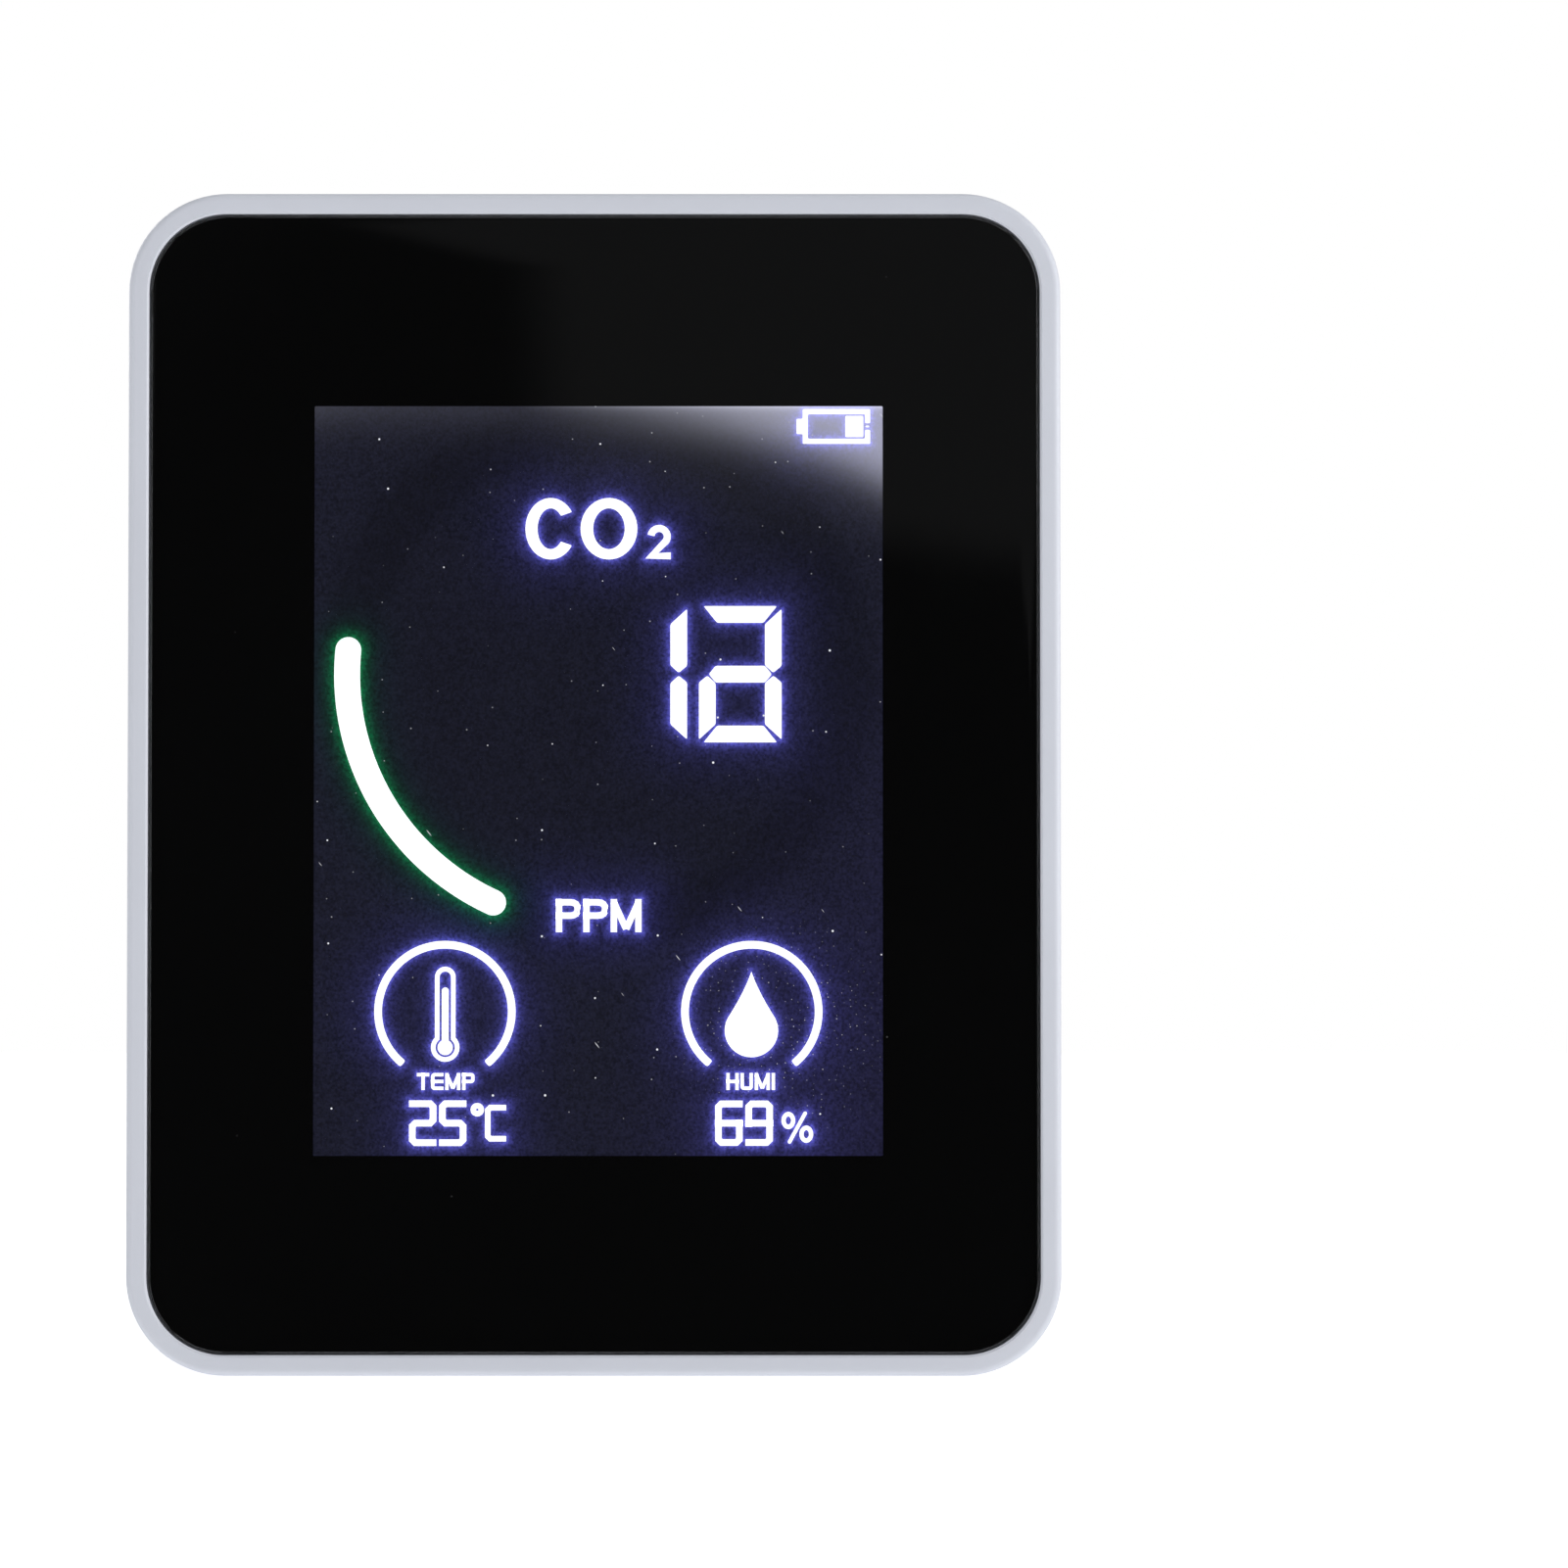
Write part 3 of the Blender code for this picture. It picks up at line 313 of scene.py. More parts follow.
# ---------------------------------------------------------------- materials
class Graph:
    """A node tree, with short ways to add to it."""

    def __init__(self, tree):
        self.tree = tree

    def feed(self, socket, value):
        if isinstance(value, bpy.types.NodeSocket):
            self.tree.links.new(value, socket)
        else:
            socket.default_value = value

    def node(self, kind, **inputs):
        made = self.tree.nodes.new(kind)
        for name, value in inputs.items():
            self.feed(made.inputs[name.replace("_", " ")], value)
        return made

    def span(self, value, low=0.3, high=0.7, start=0.0, end=1.0, smooth=False):
        """The value carried from the range low to high onto start to end."""
        ends = {"From_Min": low, "From_Max": high, "To_Min": start, "To_Max": end}
        made = self.node("ShaderNodeMapRange", Value=value, **ends)
        made.interpolation_type = "SMOOTHSTEP" if smooth else "LINEAR"
        return made.outputs["Result"]

    def math(self, operation, first, second=0.0):
        made = self.tree.nodes.new("ShaderNodeMath")
        made.operation = operation
        self.feed(made.inputs[0], first)
        self.feed(made.inputs[1], second)
        return made.outputs[0]

    def mixed_shader(self, share, first, second):
        made = self.node("ShaderNodeMixShader", Fac=share)
        self.feed(made.inputs[1], first.outputs[0])
        self.feed(made.inputs[2], second.outputs[0])
        return made.outputs[0]


class Look(Graph):
    """A Principled material that takes its variation from procedural textures."""

    def __init__(self, name, color, roughness, metallic=0.0):
        self.material = bpy.data.materials.new(name)
        self.material.use_nodes = True
        super().__init__(self.material.node_tree)
        self.shader = self.tree.nodes["Principled BSDF"]
        self.set("Base Color", (*color, 1.0))
        self.set("Roughness", roughness)
        self.set("Metallic", metallic)
        self.place = self.node("ShaderNodeTexCoord").outputs["Object"]

    def set(self, socket, value):
        self.shader.inputs[socket].default_value = value

    def link(self, output, socket):
        self.tree.links.new(output, self.shader.inputs[socket])

    def vary(self, socket, noise, low, high):
        """Lets a socket follow a noise between two values."""
        self.link(self.span(noise, start=low, end=high), socket)

    def stretched(self, scale):
        """Object coordinates, scaled differently along each axis."""
        return self.node("ShaderNodeMapping", Vector=self.place, Scale=scale).outputs["Vector"]

    def noise(self, size, detail=3.0, place=None):
        """Noise whose lumps are about this size, in metres."""
        where = place or self.place
        made = self.node("ShaderNodeTexNoise", Vector=where, Scale=1 / size, Detail=detail)
        return made.outputs["Fac"]

    def scaled(self, color, share):
        """A colour made lighter or darker by a number."""
        made = self.tree.nodes.new("ShaderNodeVectorMath")
        made.operation = "SCALE"
        self.feed(made.inputs[0], color)
        self.feed(made.inputs["Scale"], share)
        return made.outputs[0]

    def mix(self, share, first, second, blend="MIX"):
        """Two colours mixed by a share."""
        made = self.tree.nodes.new("ShaderNodeMix")
        made.data_type = "RGBA"
        made.blend_type = blend
        self.feed(made.inputs["Factor"], share)
        for socket, color in ((made.inputs[6], first), (made.inputs[7], second)):
            self.feed(socket, color if isinstance(color, bpy.types.NodeSocket) else (*color, 1.0))
        return made.outputs[2]

    def bump(self, height, strength, distance, under=None):
        made = self.node("ShaderNodeBump", Height=height, Strength=strength, Distance=distance)
        if under is not None:
            self.tree.links.new(under, made.inputs["Normal"])
        self.link(made.outputs["Normal"], "Normal")
        return made.outputs["Normal"]

    def facing(self, stretch=1.0, turn=0.0):
        """Object coordinates as (x, z), for a surface that faces along Y."""
        split = self.node("ShaderNodeSeparateXYZ", Vector=self.place).outputs
        flat = self.node("ShaderNodeCombineXYZ", X=split["X"], Y=split["Z"]).outputs["Vector"]
        turned = self.node("ShaderNodeMapping", Vector=flat, Rotation=(0, 0, turn))
        way = turned.outputs["Vector"]
        long = self.node("ShaderNodeMapping", Vector=way, Scale=(1 / stretch, 1, 1))
        return long.outputs["Vector"]

    def specks(self, cell, radius, kept, **shape):
        """Small specks, one at most in a cell of this size, in this share of the cells."""
        made = self.node("ShaderNodeTexVoronoi", Vector=self.facing(**shape), Scale=1 / cell)
        made.voronoi_dimensions = "2D"
        made.feature = "F1"
        grain = self.node("ShaderNodeSeparateColor", Color=made.outputs["Color"]).outputs
        reach = self.span(grain["Green"], 0.0, 1.0, radius * 0.45 / cell, radius / cell)
        near = self.math("SUBTRACT", reach, made.outputs["Distance"])
        inside = self.math("MULTIPLY", near, cell / (radius * 0.35))
        inside = self.span(inside, 0.0, 1.0)
        return self.math("MULTIPLY", inside, self.math("LESS_THAN", grain["Red"], kept))


def moulded_plastic(name, color, roughness=0.42):
    """Fine spark-eroded moulded plastic, with faint flow marks and uneven sheen."""
    look = Look(name, color, roughness)
    shade = look.span(look.noise(14 * MM, 2.0), start=0.985, end=1.01)
    look.link(look.scaled(color, shade), "Base Color")
    look.vary("Roughness", look.noise(5 * MM), roughness - 0.05, roughness + 0.07)
    fine = look.bump(look.noise(0.22 * MM, 4.0), 0.22, 0.03 * MM)
    look.bump(look.noise(3 * MM, 1.0), 0.10, 0.05 * MM, under=fine)
    return look.material


def steel(name, color=(0.62, 0.61, 0.59), roughness=0.28):
    """Nickel plated steel with drawn lines along X and faint smears."""
    look = Look(name, color, roughness, 1.0)
    lines = look.noise(0.12 * MM, 3.0, look.stretched((0.08, 1, 1)))
    look.vary("Roughness", lines, roughness - 0.08, roughness + 0.12)
    smear = look.span(look.noise(1.6 * MM), 0.35, 0.75, 0.0, 0.5)
    look.link(look.mix(smear, color, (0.45, 0.43, 0.40)), "Base Color")
    look.bump(lines, 0.15, 0.01 * MM)
    return look.material


def rubber(name, color=(0.022, 0.022, 0.023), roughness=0.75):
    look = Look(name, color, roughness)
    dust = look.span(look.noise(0.7 * MM, 6.0), 0.5, 0.8, 0.0, 0.35)
    look.link(look.mix(dust, color, (0.10, 0.10, 0.10)), "Base Color")
    look.vary("Roughness", look.noise(0.3 * MM), roughness - 0.1, roughness + 0.1)
    look.bump(look.noise(0.15 * MM, 5.0), 0.35, 0.04 * MM)
    return look.material


def clear_acrylic(name):
    """A clear pane: it mirrors by angle, and shows what is behind it."""
    look = Look(name, (0.9, 0.92, 0.93), 0.03)
    clear = look.node("ShaderNodeBsdfTransparent", Color=(0.985, 0.985, 0.99, 1.0))
    haze = look.span(look.noise(9 * MM, 4.0), 0.35, 0.75, 0.02, 0.07)
    mirror = look.node("ShaderNodeBsdfGlossy", Color=(1.0, 1.0, 1.0, 1.0), Roughness=haze)
    angle = look.node("ShaderNodeFresnel", IOR=1.46).outputs[0]
    out = look.tree.nodes["Material Output"]
    look.feed(out.inputs["Surface"], look.mixed_shader(angle, clear, mirror))
    look.tree.nodes.remove(look.shader)
    return look.material


def black_print(name):
    """Glossless black ink on the back of the pane, with a few dust specks trapped on it."""
    ink = (0.0010, 0.0011, 0.0013)
    look = Look(name, ink, 0.6)
    look.set("Specular IOR Level", 0.0)
    tone = look.mix(look.span(look.noise(20 * MM, 2.0)), ink, (0.0016, 0.0017, 0.0019))
    dust = look.math("MULTIPLY", look.specks(7 * MM, 0.13 * MM, 0.1), 0.6)
    look.link(look.mix(dust, tone, (0.25, 0.25, 0.25)), "Base Color")
    return look.material


def display_face(name):
    """The display's dark field: it glows faintly, and brighter by its signs; a reflection of light
    towards its top and the light caught by its dust specks are painted into its glow.
    """
    look = Look(name, (0.003, 0.003, 0.004), 0.42)
    look.set("Specular IOR Level", 0.15)
    glow = look.node("ShaderNodeAttribute")
    glow.attribute_name = "glow"
    grain = look.span(look.noise(0.24 * MM, 2.0), start=0.5, end=1.5)
    cloud = look.span(look.noise(6 * MM, 3.0), start=0.95, end=1.06)
    own = look.scaled(glow.outputs["Color"], look.math("MULTIPLY", grain, cloud))
    # Painted reflection: the attribute's alpha adds a sheen of reflected light along the top, in
    # this bluish white.
    painted_reflection = look.mix(glow.outputs["Alpha"], (0, 0, 0), (0.94, 0.95, 1.13))
    field = look.mix(1.0, own, painted_reflection, "ADD")
    smear_middle = (WINDOW_X + 18 * MM, FACE_Y, WINDOW_Z - 24 * MM)
    away = look.node("ShaderNodeVectorMath", Vector=look.place)
    away.operation = "DISTANCE"
    away.inputs[1].default_value = smear_middle
    smear = look.span(away.outputs["Value"], 3 * MM, 13 * MM, 0.75, 0.0, smooth=True)
    big = look.specks(5.4 * MM, 0.13 * MM, 0.3)
    small = look.specks(2.6 * MM, 0.09 * MM, 0.25)
    lint = look.specks(4 * MM, 0.06 * MM, 0.3, stretch=7.0, turn=0.9)
    fine = look.math("MULTIPLY", look.specks(0.7 * MM, 0.07 * MM, 0.5), smear)
    dust = look.math("MULTIPLY", big, 1.4)
    for specks, share in ((small, 0.35), (lint, 0.6), (fine, 0.8)):
        dust = look.math("ADD", dust, look.math("MULTIPLY", specks, share))
    # The dust specks are real, but the light they catch is painted into the glow, as if they shone.
    lit = look.mix(look.math("MINIMUM", dust, 1.0), field, (0.85, 0.86, 0.92))
    look.link(lit, "Emission Color")
    look.set("Emission Strength", 1.0)
    look.bump(look.noise(0.12 * MM), 0.08, 0.01 * MM)
    return look.material


def lit_sign(name, color=(1.0, 1.0, 1.0), tint=(0.93, 0.95, 1.0)):
    """A lit part of the display, very slightly mottled."""
    look = Look(name, (0.8, 0.8, 0.8), 0.5)
    look.set("Specular IOR Level", 0.1)
    patch = look.span(look.noise(0.35 * MM, 2.0), 0.35, 0.65)
    look.link(look.mix(patch, tint, color), "Emission Color")
    look.set("Emission Strength", 1.0)
    return look.material


def circuit_board(name, color):
    """Solder mask over copper tracks, with tinned pads."""
    look = Look(name, color, 0.4)
    black = (0, 0, 0, 1)
    pattern = {"Color1": black, "Color2": black, "Mortar": (1, 1, 1, 1), "Mortar_Size": 0.03}
    where = look.stretched((1, 0, 1))
    tracks = look.node("ShaderNodeTexBrick", Vector=where, Scale=1 / (6 * MM), **pattern)
    line = look.math("MULTIPLY", tracks.outputs["Color"], 1.0)
    brighter = tuple(min(1.0, channel * 1.9 + 0.01) for channel in color)
    masked = look.mix(line, color, brighter)
    pads = look.specks(2.4 * MM, 0.45 * MM, 0.5)
    look.link(look.mix(pads, masked, (0.62, 0.60, 0.55)), "Base Color")
    look.link(look.span(pads, 0.0, 1.0, 0.0, 0.9), "Metallic")
    look.bump(look.math("ADD", line, pads), 0.3, 0.05 * MM)
    return look.material


def grained(name, color, roughness, size, depth, spread=0.12, metallic=0.0):
    """A plain material with a grain of one size, in millimetres: sheet, foam, foil or film."""
    size *= MM
    look = Look(name, color, roughness, metallic)
    darker = tuple(channel * (1 - spread) for channel in color)
    lighter = tuple(min(1.0, channel * (1 + spread)) for channel in color)
    look.link(look.mix(look.span(look.noise(size * 6, 3.0)), darker, lighter), "Base Color")
    look.vary("Roughness", look.noise(size * 3), max(0.02, roughness - 0.08), roughness + 0.08)
    look.bump(look.noise(size, 4.0), 0.3, depth * MM)
    return look.material


WHITE = moulded_plastic("white_moulding", (0.64, 0.66, 0.725))
KEY_LOOK = moulded_plastic("key_moulding", (0.62, 0.64, 0.70), 0.36)
ACRYLIC = clear_acrylic("clear_pane")
PRINT = black_print("ink_black")
FIELD = display_face("display_field")
SIGN_WHITE = lit_sign("sign_white")
SIGN_GREEN = lit_sign("sign_green", (0.93, 1.0, 0.97), (0.80, 1.0, 0.92))
STEEL = steel("plated_steel")
DARK_STEEL = steel("zinc_steel", (0.50, 0.50, 0.51), 0.34)
RUBBER = rubber("pad_rubber")
GOLD = grained("gold_flash", (0.83, 0.62, 0.28), 0.25, 0.4, 0.01, 0.08, 1.0)
BLACK_PLASTIC = grained("moulded_black", (0.02, 0.02, 0.021), 0.5, 0.15, 0.02)
GREEN = circuit_board("solder_mask", (0.012, 0.10, 0.035))
TEAL = circuit_board("solder_mask_dark", (0.008, 0.055, 0.06))
FABRIC = grained("mesh_wire", (0.035, 0.035, 0.037), 0.55, 0.05, 0.01)

# CAD nodes that keep their shape, by the material they share.
SHARED = (
    (STEEL, "clock_crystal stand_pin"),
    (DARK_STEEL, "board_screw_1 board_screw_2 board_screw_3 board_screw_4"),
    (GREEN, "main_board"),
    (TEAL, "gas_sensor_board"),
    (GOLD, "gas_sensor_chamber"),
    (BLACK_PLASTIC, "mcu_chip lcd_driver_chip charger_chip humidity_sensor buzzer"),
    (BLACK_PLASTIC, "gas_sensor_header switch_body"),
)
# Those with one of their own: name, colour, roughness, then grain size and depth in millimetres.
OWN = {
    "lens_tape": ("tape_foam", (0.02, 0.02, 0.02), 0.95, 0.12, 0.06),
    "lcd_front_glass": ("cell_glass", (0.03, 0.033, 0.045), 0.08, 2, 0.002),
    "lcd_rear_glass": ("cell_glass_rear", (0.035, 0.04, 0.05), 0.1, 2, 0.002),
    "rear_polariser": ("film_grey", (0.06, 0.06, 0.07), 0.3, 0.8, 0.004),
    "diffuser_sheet": ("film_milky", (0.86, 0.86, 0.85), 0.6, 0.3, 0.01),
    "light_guide": ("guide_acrylic", (0.78, 0.81, 0.83), 0.12, 0.5, 0.01),
    "reflector_sheet": ("film_white", (0.9, 0.9, 0.9), 0.45, 0.4, 0.008),
    "backlight_tray": ("tray_white", (0.78, 0.78, 0.76), 0.55, 0.25, 0.03),
    "led_strip": ("lamp_white", (0.82, 0.80, 0.62), 0.4, 0.3, 0.02),
    "display_ribbon": ("flex_amber", (0.45, 0.20, 0.03), 0.35, 0.6, 0.01),
    "power_inductor": ("ferrite_grey", (0.07, 0.07, 0.075), 0.65, 0.2, 0.03),
    "gas_membrane_left": ("filter_paper", (0.84, 0.84, 0.82), 0.9, 0.1, 0.05),
    "gas_membrane_right": ("filter_sheet", (0.84, 0.84, 0.82), 0.9, 0.1, 0.05),
    "switch_plunger": ("plunger_ivory", (0.75, 0.73, 0.66), 0.45, 0.2, 0.01),
    "battery_pad": ("pad_foam", (0.03, 0.03, 0.03), 0.95, 0.15, 0.08),
    "battery_pack": ("pouch_foil", (0.58, 0.60, 0.62), 0.33, 1.2, 0.03, 0.08, 0.85),
    "battery_socket": ("socket_ivory", (0.80, 0.77, 0.68), 0.5, 0.2, 0.01),
    "battery_plug": ("plug_ivory", (0.82, 0.80, 0.72), 0.5, 0.2, 0.01),
    "battery_lead_positive": ("sleeve_red", (0.45, 0.015, 0.012), 0.4, 0.3, 0.01),
    "battery_lead_negative": ("sleeve_black", (0.015, 0.015, 0.015), 0.4, 0.3, 0.01),
}


def dress_inside():
    """Gives each CAD node that keeps its shape its material."""
    looks = {node: look for look, nodes in SHARED for node in nodes.split()}
    looks.update({node: grained(*finish) for node, finish in OWN.items()})
    for name, look in looks.items():
        materials = frame["nodes"][name].data.materials
        materials.clear()
        materials.append(look)


# ---------------------------------------------------------------- front shell
def frame_ring():
    """The frame's walls: side, rounded front rim, seat for the pane, and the lip at the joint."""
    outer_edge = 0.7 * MM
    bevel = 0.2 * MM
    lip = 0.9 * MM
    profile = [(SEAM, FRAME_SPLIT_Y), (0, FRAME_SPLIT_Y - SEAM)]
    for sine, cosine in quarter_turn(EDGE_STEPS + 1):
        profile.append((outer_edge * cosine, FRONT_Y + outer_edge * sine))
    profile += [(WALL - bevel, FRONT_Y), (WALL, FRONT_Y + bevel), (WALL, LIP_END_Y)]
    profile += [(WALL - lip, LIP_END_Y), (WALL - lip, FRAME_SPLIT_Y)]
    return case_loft(profile, ring=True)


def front_shell():
    """The white front shell."""
    shell = mesh_object("front_shell", frame_ring())
    margin = 0.3 * MM
    glass_low, glass_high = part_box("lcd_rear_glass")
    opening = box(
        (glass_low.x - margin, LEDGE_Y - THROUGH, glass_low.z - margin),
        (glass_high.x + margin, LEDGE_REAR_Y + THROUGH, glass_high.z + margin),
    )
    posts = bmesh.new()
    pilots = bmesh.new()
    post_foot = LEDGE_REAR_Y - 1 * MM
    for place in BOARD_SCREWS:
        add_post(posts, 2.7 * MM, facing_y(place), post_foot, BOARD[0].y - margin)
    for place in CASE_SCREWS:
        add_post(posts, CASE_POST_R, facing_y(place), post_foot, BOARD[1].y)
    for place in BOARD_SCREWS + CASE_SCREWS:
        floor_y = LEDGE_REAR_Y + 0.5 * MM
        add_post(pilots, 1.05 * MM, facing_y(place), floor_y, BOARD[1].y + THROUGH, 6)
    inset = WALL - 0.1 * MM
    ledge = case_loft([(inset, LEDGE_Y), (inset, LEDGE_REAR_Y)], 8)
    combine(shell, "UNION", ledge, "DIFFERENCE", opening, "UNION", posts, "DIFFERENCE", pilots)
    show(shell, "case", "white_abs", WHITE, "front_frame")


def front_pane():
    """The clear pane, with polished edges, and the black print behind it."""
    low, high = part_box("front_lens")
    size = size_of((low, high), "xz")
    corner = CASE_CORNER - (low.x - FRAME[0].x)
    place = facing_y(CASE_CENTRE)
    profile = edge_profile(low.y, high.y, 0.25 * MM, 0.12 * MM)
    pane = mesh_object("front_pane", loft(size, corner, profile, place))
    show(pane, "case", "clear_acrylic", ACRYLIC, "front_lens")

    low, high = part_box("lens_mask")
    print_layer = mesh_object("panel_print", loft(size, corner, [(0, low.y), (0, high.y)], place))
    cut = [(0, low.y - THROUGH), (0, high.y + THROUGH)]
    window_place = facing_y((WINDOW_X, WINDOW_Z))
    window = loft((WINDOW_WIDTH, WINDOW_HEIGHT), 0.1 * MM, cut, window_place, steps=2)
    combine(print_layer, "DIFFERENCE", window)
    show(print_layer, "case", "black_print", PRINT, "lens_mask")


# ---------------------------------------------------------------- display signs
# Outlines are in millimetres from the middle of the display's window, x to the right and z up.
# A sign is a list of groups, and each group is a list of outlines filled together, with holes.
GAUGE_MIDDLE = (-0.05, 10.26)
READING_Z = -33.1
LABEL_Z = -29.08

# Each character's lines, through places numbered like a phone's keys.
LINES = {
    "T": ("13", "28"),
    "E": ("3179", "46"),
    "M": ("17", "39", "18", "83"),
    "P": ("71", "1364"),
    "H": ("17", "46", "39"),
    "U": ("1793",),
    "I": ("28",),
    "C": ("3179",),
    "2": ("136479",),
    "5": ("314697",),
    "6": ("31796", "64"),
    "9": ("79314", "46"),
}


def moved(outline, right, up):
    return [(x + right, z + up) for x, z in outline]


def curved(start, bend, end, steps):
    """Points along a curve that leaves its start and reaches its end towards the bend."""
    points = []
    for step in range(steps + 1):
        t = step / steps
        point = start * (1 - t) ** 2 + bend * 2 * t * (1 - t) + end * t**2
        points.append((point.x, point.y))
    return points


def softened(outline, radius, steps=4):
    """An outline with each corner replaced by a short curve."""
    points = []
    count = len(outline)
    for index, corner in enumerate(outline):
        here = Vector(corner)
        before = Vector(outline[index - 1]) - here
        after = Vector(outline[(index + 1) % count]) - here
        reach = min(radius, before.length / 2.05, after.length / 2.05)
        start = here + before.normalized() * reach
        end = here + after.normalized() * reach
        points += curved(start, here, end, steps)
    return points


def stroke(path, width, round_ends=False, steps=10):
    """The outline of a line of this width along a path, with butt or round ends."""
    points = [Vector(point) for point in path]
    left = []
    right = []
    for index, point in enumerate(points):
        ways = []
        if index > 0:
            ways.append((point - points[index - 1]).normalized())
        if index < len(points) - 1:
            ways.append((points[index + 1] - point).normalized())
        along = sum(ways, Vector((0, 0))).normalized()
        side = Vector((-along.y, along.x)) * width / 2 / max(0.5, along.dot(ways[0]))
        left.append(tuple(point + side))
        right.append(tuple(point - side))
    caps = []
    for point, before in ((points[-1], points[-2]), (points[0], points[1])):
        way = point - before
        angle = math.degrees(math.atan2(way.y, way.x))
        cap = arc(point, width / 2, angle + 90, angle - 90, steps)[1:-1]
        caps.append(cap if round_ends else [])
    return left + caps[0] + right[::-1] + caps[1]


def bent(corners, reach, tail):
    """A path with its corners cut or curved. An upright or level end runs on by the tail."""
    path = []
    steps = 1 if reach <= tail else 4
    for index, corner in enumerate(corners):
        near = corners[max(index - 1, 0) : index] + corners[index + 1 : index + 2]
        ways = [(other - corner).normalized() for other in near]
        if len(ways) == 1:
            square = min(abs(ways[0].x), abs(ways[0].y)) < 1e-6
            path.append(corner - ways[0] * (tail if square else 0))
            continue
        for step in range(steps + 1):
            t = step / steps
            path.append(corner + (ways[0] * (1 - t) ** 2 + ways[1] * t**2) * reach)
    return path


def lettering(text, left, middle, height, wide, weight, gap, bend=0.45):
    """Characters drawn with lines of one weight, from a left-hand edge."""
    groups = []
    for letter in text:
        width = {"M": 1.22 * wide, "I": weight}.get(letter, wide)
        side = (width - weight) / 2
        top = (height - weight) / 2
        places = {}
        for key in range(9):
            across = left + width / 2 + side * (key % 3 - 1)
            places[str(key + 1)] = Vector((across, middle + top * (1 - key // 3)))
        for line in LINES[letter]:
            path = bent([places[key] for key in line], weight * bend, weight / 2)
            groups.append([stroke(path, weight)])
        left += width + gap
    return groups


def ellipse(width, height, start=0.0, end=360.0, steps=48):
    outline = arc((0, 0), 1, start, end, steps)
    return [(width / 2 * across, height / 2 * up) for across, up in outline]


def oval_ring(width, height, side, top, place):
    """An O whose wall is thicker at its sides than at its top."""
    outer = ellipse(width, height)[:-1]
    inner = ellipse(width - 2 * side, height - 2 * top)[:-1]
    return [moved(outer, *place), moved(inner, *place)]


def open_oval(width, height, side, top, gap, place):
    """A letter C, open to the right by twice the gap angle."""
    outer = ellipse(width, height, gap, 360 - gap)
    inner = ellipse(width - 2 * side, height - 2 * top, 354 - gap, gap + 6)
    return [moved(softened(outer + inner, 0.12, 3), *place)]


def figure_two(width, height, weight, place):
    """A figure 2 from its bowl, diagonal and foot."""
    radius = (width - weight) / 2
    foot = -height / 2 + weight / 2
    path = arc((0, height / 2 - weight / 2 - radius), radius, 172, -38, 16)
    path += [(-width / 2 + weight * 0.62, foot), (width / 2, foot)]
    return [moved(stroke(path, weight), *place)]


def segment_digit(lit, place, width, height, weight, gap):
    """The lit segments of a seven segment figure, named a to g from the top, clockwise."""
    side = width / 2
    top = height / 2
    half = weight / 2
    cut = gap * 0.7
    inner = side - weight
    upright = [
        (side, top - 2 * cut),
        (side, half),
        (side - half, cut),
        (inner, half + 0.3 * gap),
        (inner, top - weight - cut),
    ]
    level = [
        (-side + 3.2 * cut, top),
        (side - 3.2 * cut, top),
        (inner - cut, top - weight),
        (-inner + cut, top - weight),
    ]
    tip = inner + half - cut
    middle = [(-inner, half), (inner, half), (tip, 0), (inner, -half), (-inner, -half), (-tip, 0)]
    shapes = {
        "a": level,
        "b": upright,
        "c": [(x, -z) for x, z in upright],
        "d": [(x, -z) for x, z in level],
        "e": [(-x, -z) for x, z in upright],
        "g": middle,
    }
    return [[moved(softened(shapes[name], 0.1 * weight, 2), *place)] for name in lit]


def gauge_ring(place):
    """A thin ring, open at the bottom."""
    return [[softened(stroke(arc(place, 6.46, -51.2, 231.2, 72), 0.75), 0.18, 2)]]


def thermometer(middle_x):
    """A bulb and stem in outline, with the fluid inside."""
    outlines = []
    for stem, bulb, top in ((1.0, 1.38, -18.0), (0.55, 0.93, -18.47), (0.34, 0.74, -20.0)):
        lean = math.degrees(math.asin(stem / bulb))
        outline = arc((middle_x, -25.8), bulb, 90 - lean, -270 + lean, 40)
        outlines.append(outline + arc((middle_x, top - stem), stem, 180, 0, 16))
    return [outlines]


def water_drop(middle_x):
    """A drop with a sharp tip, its sides curving into a round base."""
    base = arc((0, -24.16), 2.58, 388, 270, 20)
    side = curved(Vector((0, -18.45)), Vector((0.62, -20.35)), Vector(base[0]), 12)[:-1]
    half = side + base
    mirrored = [(-x, z) for x, z in half[-2:0:-1]]
    return [[moved(half + mirrored, middle_x, 0)]]


def battery_sign(place):
    """A battery in outline with its cap to the left, a gap in its right wall, and one bar left."""
    half_w = 3.27
    half_h = 1.69
    inner_w = half_w - 0.5
    inner_h = half_h - 0.5
    slit = 0.32
    cap_w = 0.6
    cap_h = 0.74
    shell = [(half_w, slit), (half_w, half_h), (-half_w, half_h), (-half_w, cap_h)]
    shell += [(-half_w - cap_w, cap_h), (-half_w - cap_w, -cap_h), (-half_w, -cap_h)]
    shell += [(-half_w, -half_h), (half_w, -half_h), (half_w, -slit), (inner_w, -slit)]
    shell += [(inner_w, -inner_h), (-inner_w, -inner_h), (-inner_w, inner_h), (inner_w, inner_h)]
    shell += [(inner_w, slit)]
    bar = [(0.86, -1.03), (0.86, 1.03), (2.6, 1.03), (2.6, -1.03)]
    tick = [(2.82, -0.08), (2.82, 0.08), (3.17, 0.08), (3.17, -0.08)]
    return [[moved(softened(shape, 0.12, 2), *place)] for shape in (shell, bar, tick)]


def percent_sign(x, z):
    return [
        [stroke([(x - 0.76, z - 1.4), (x + 0.74, z + 1.35)], 0.36, True, 6)],
        oval_ring(1.34, 1.66, 0.42, 0.44, (x - 0.88, z + 0.66)),
        oval_ring(1.34, 1.66, 0.42, 0.44, (x + 0.85, z - 0.66)),
    ]


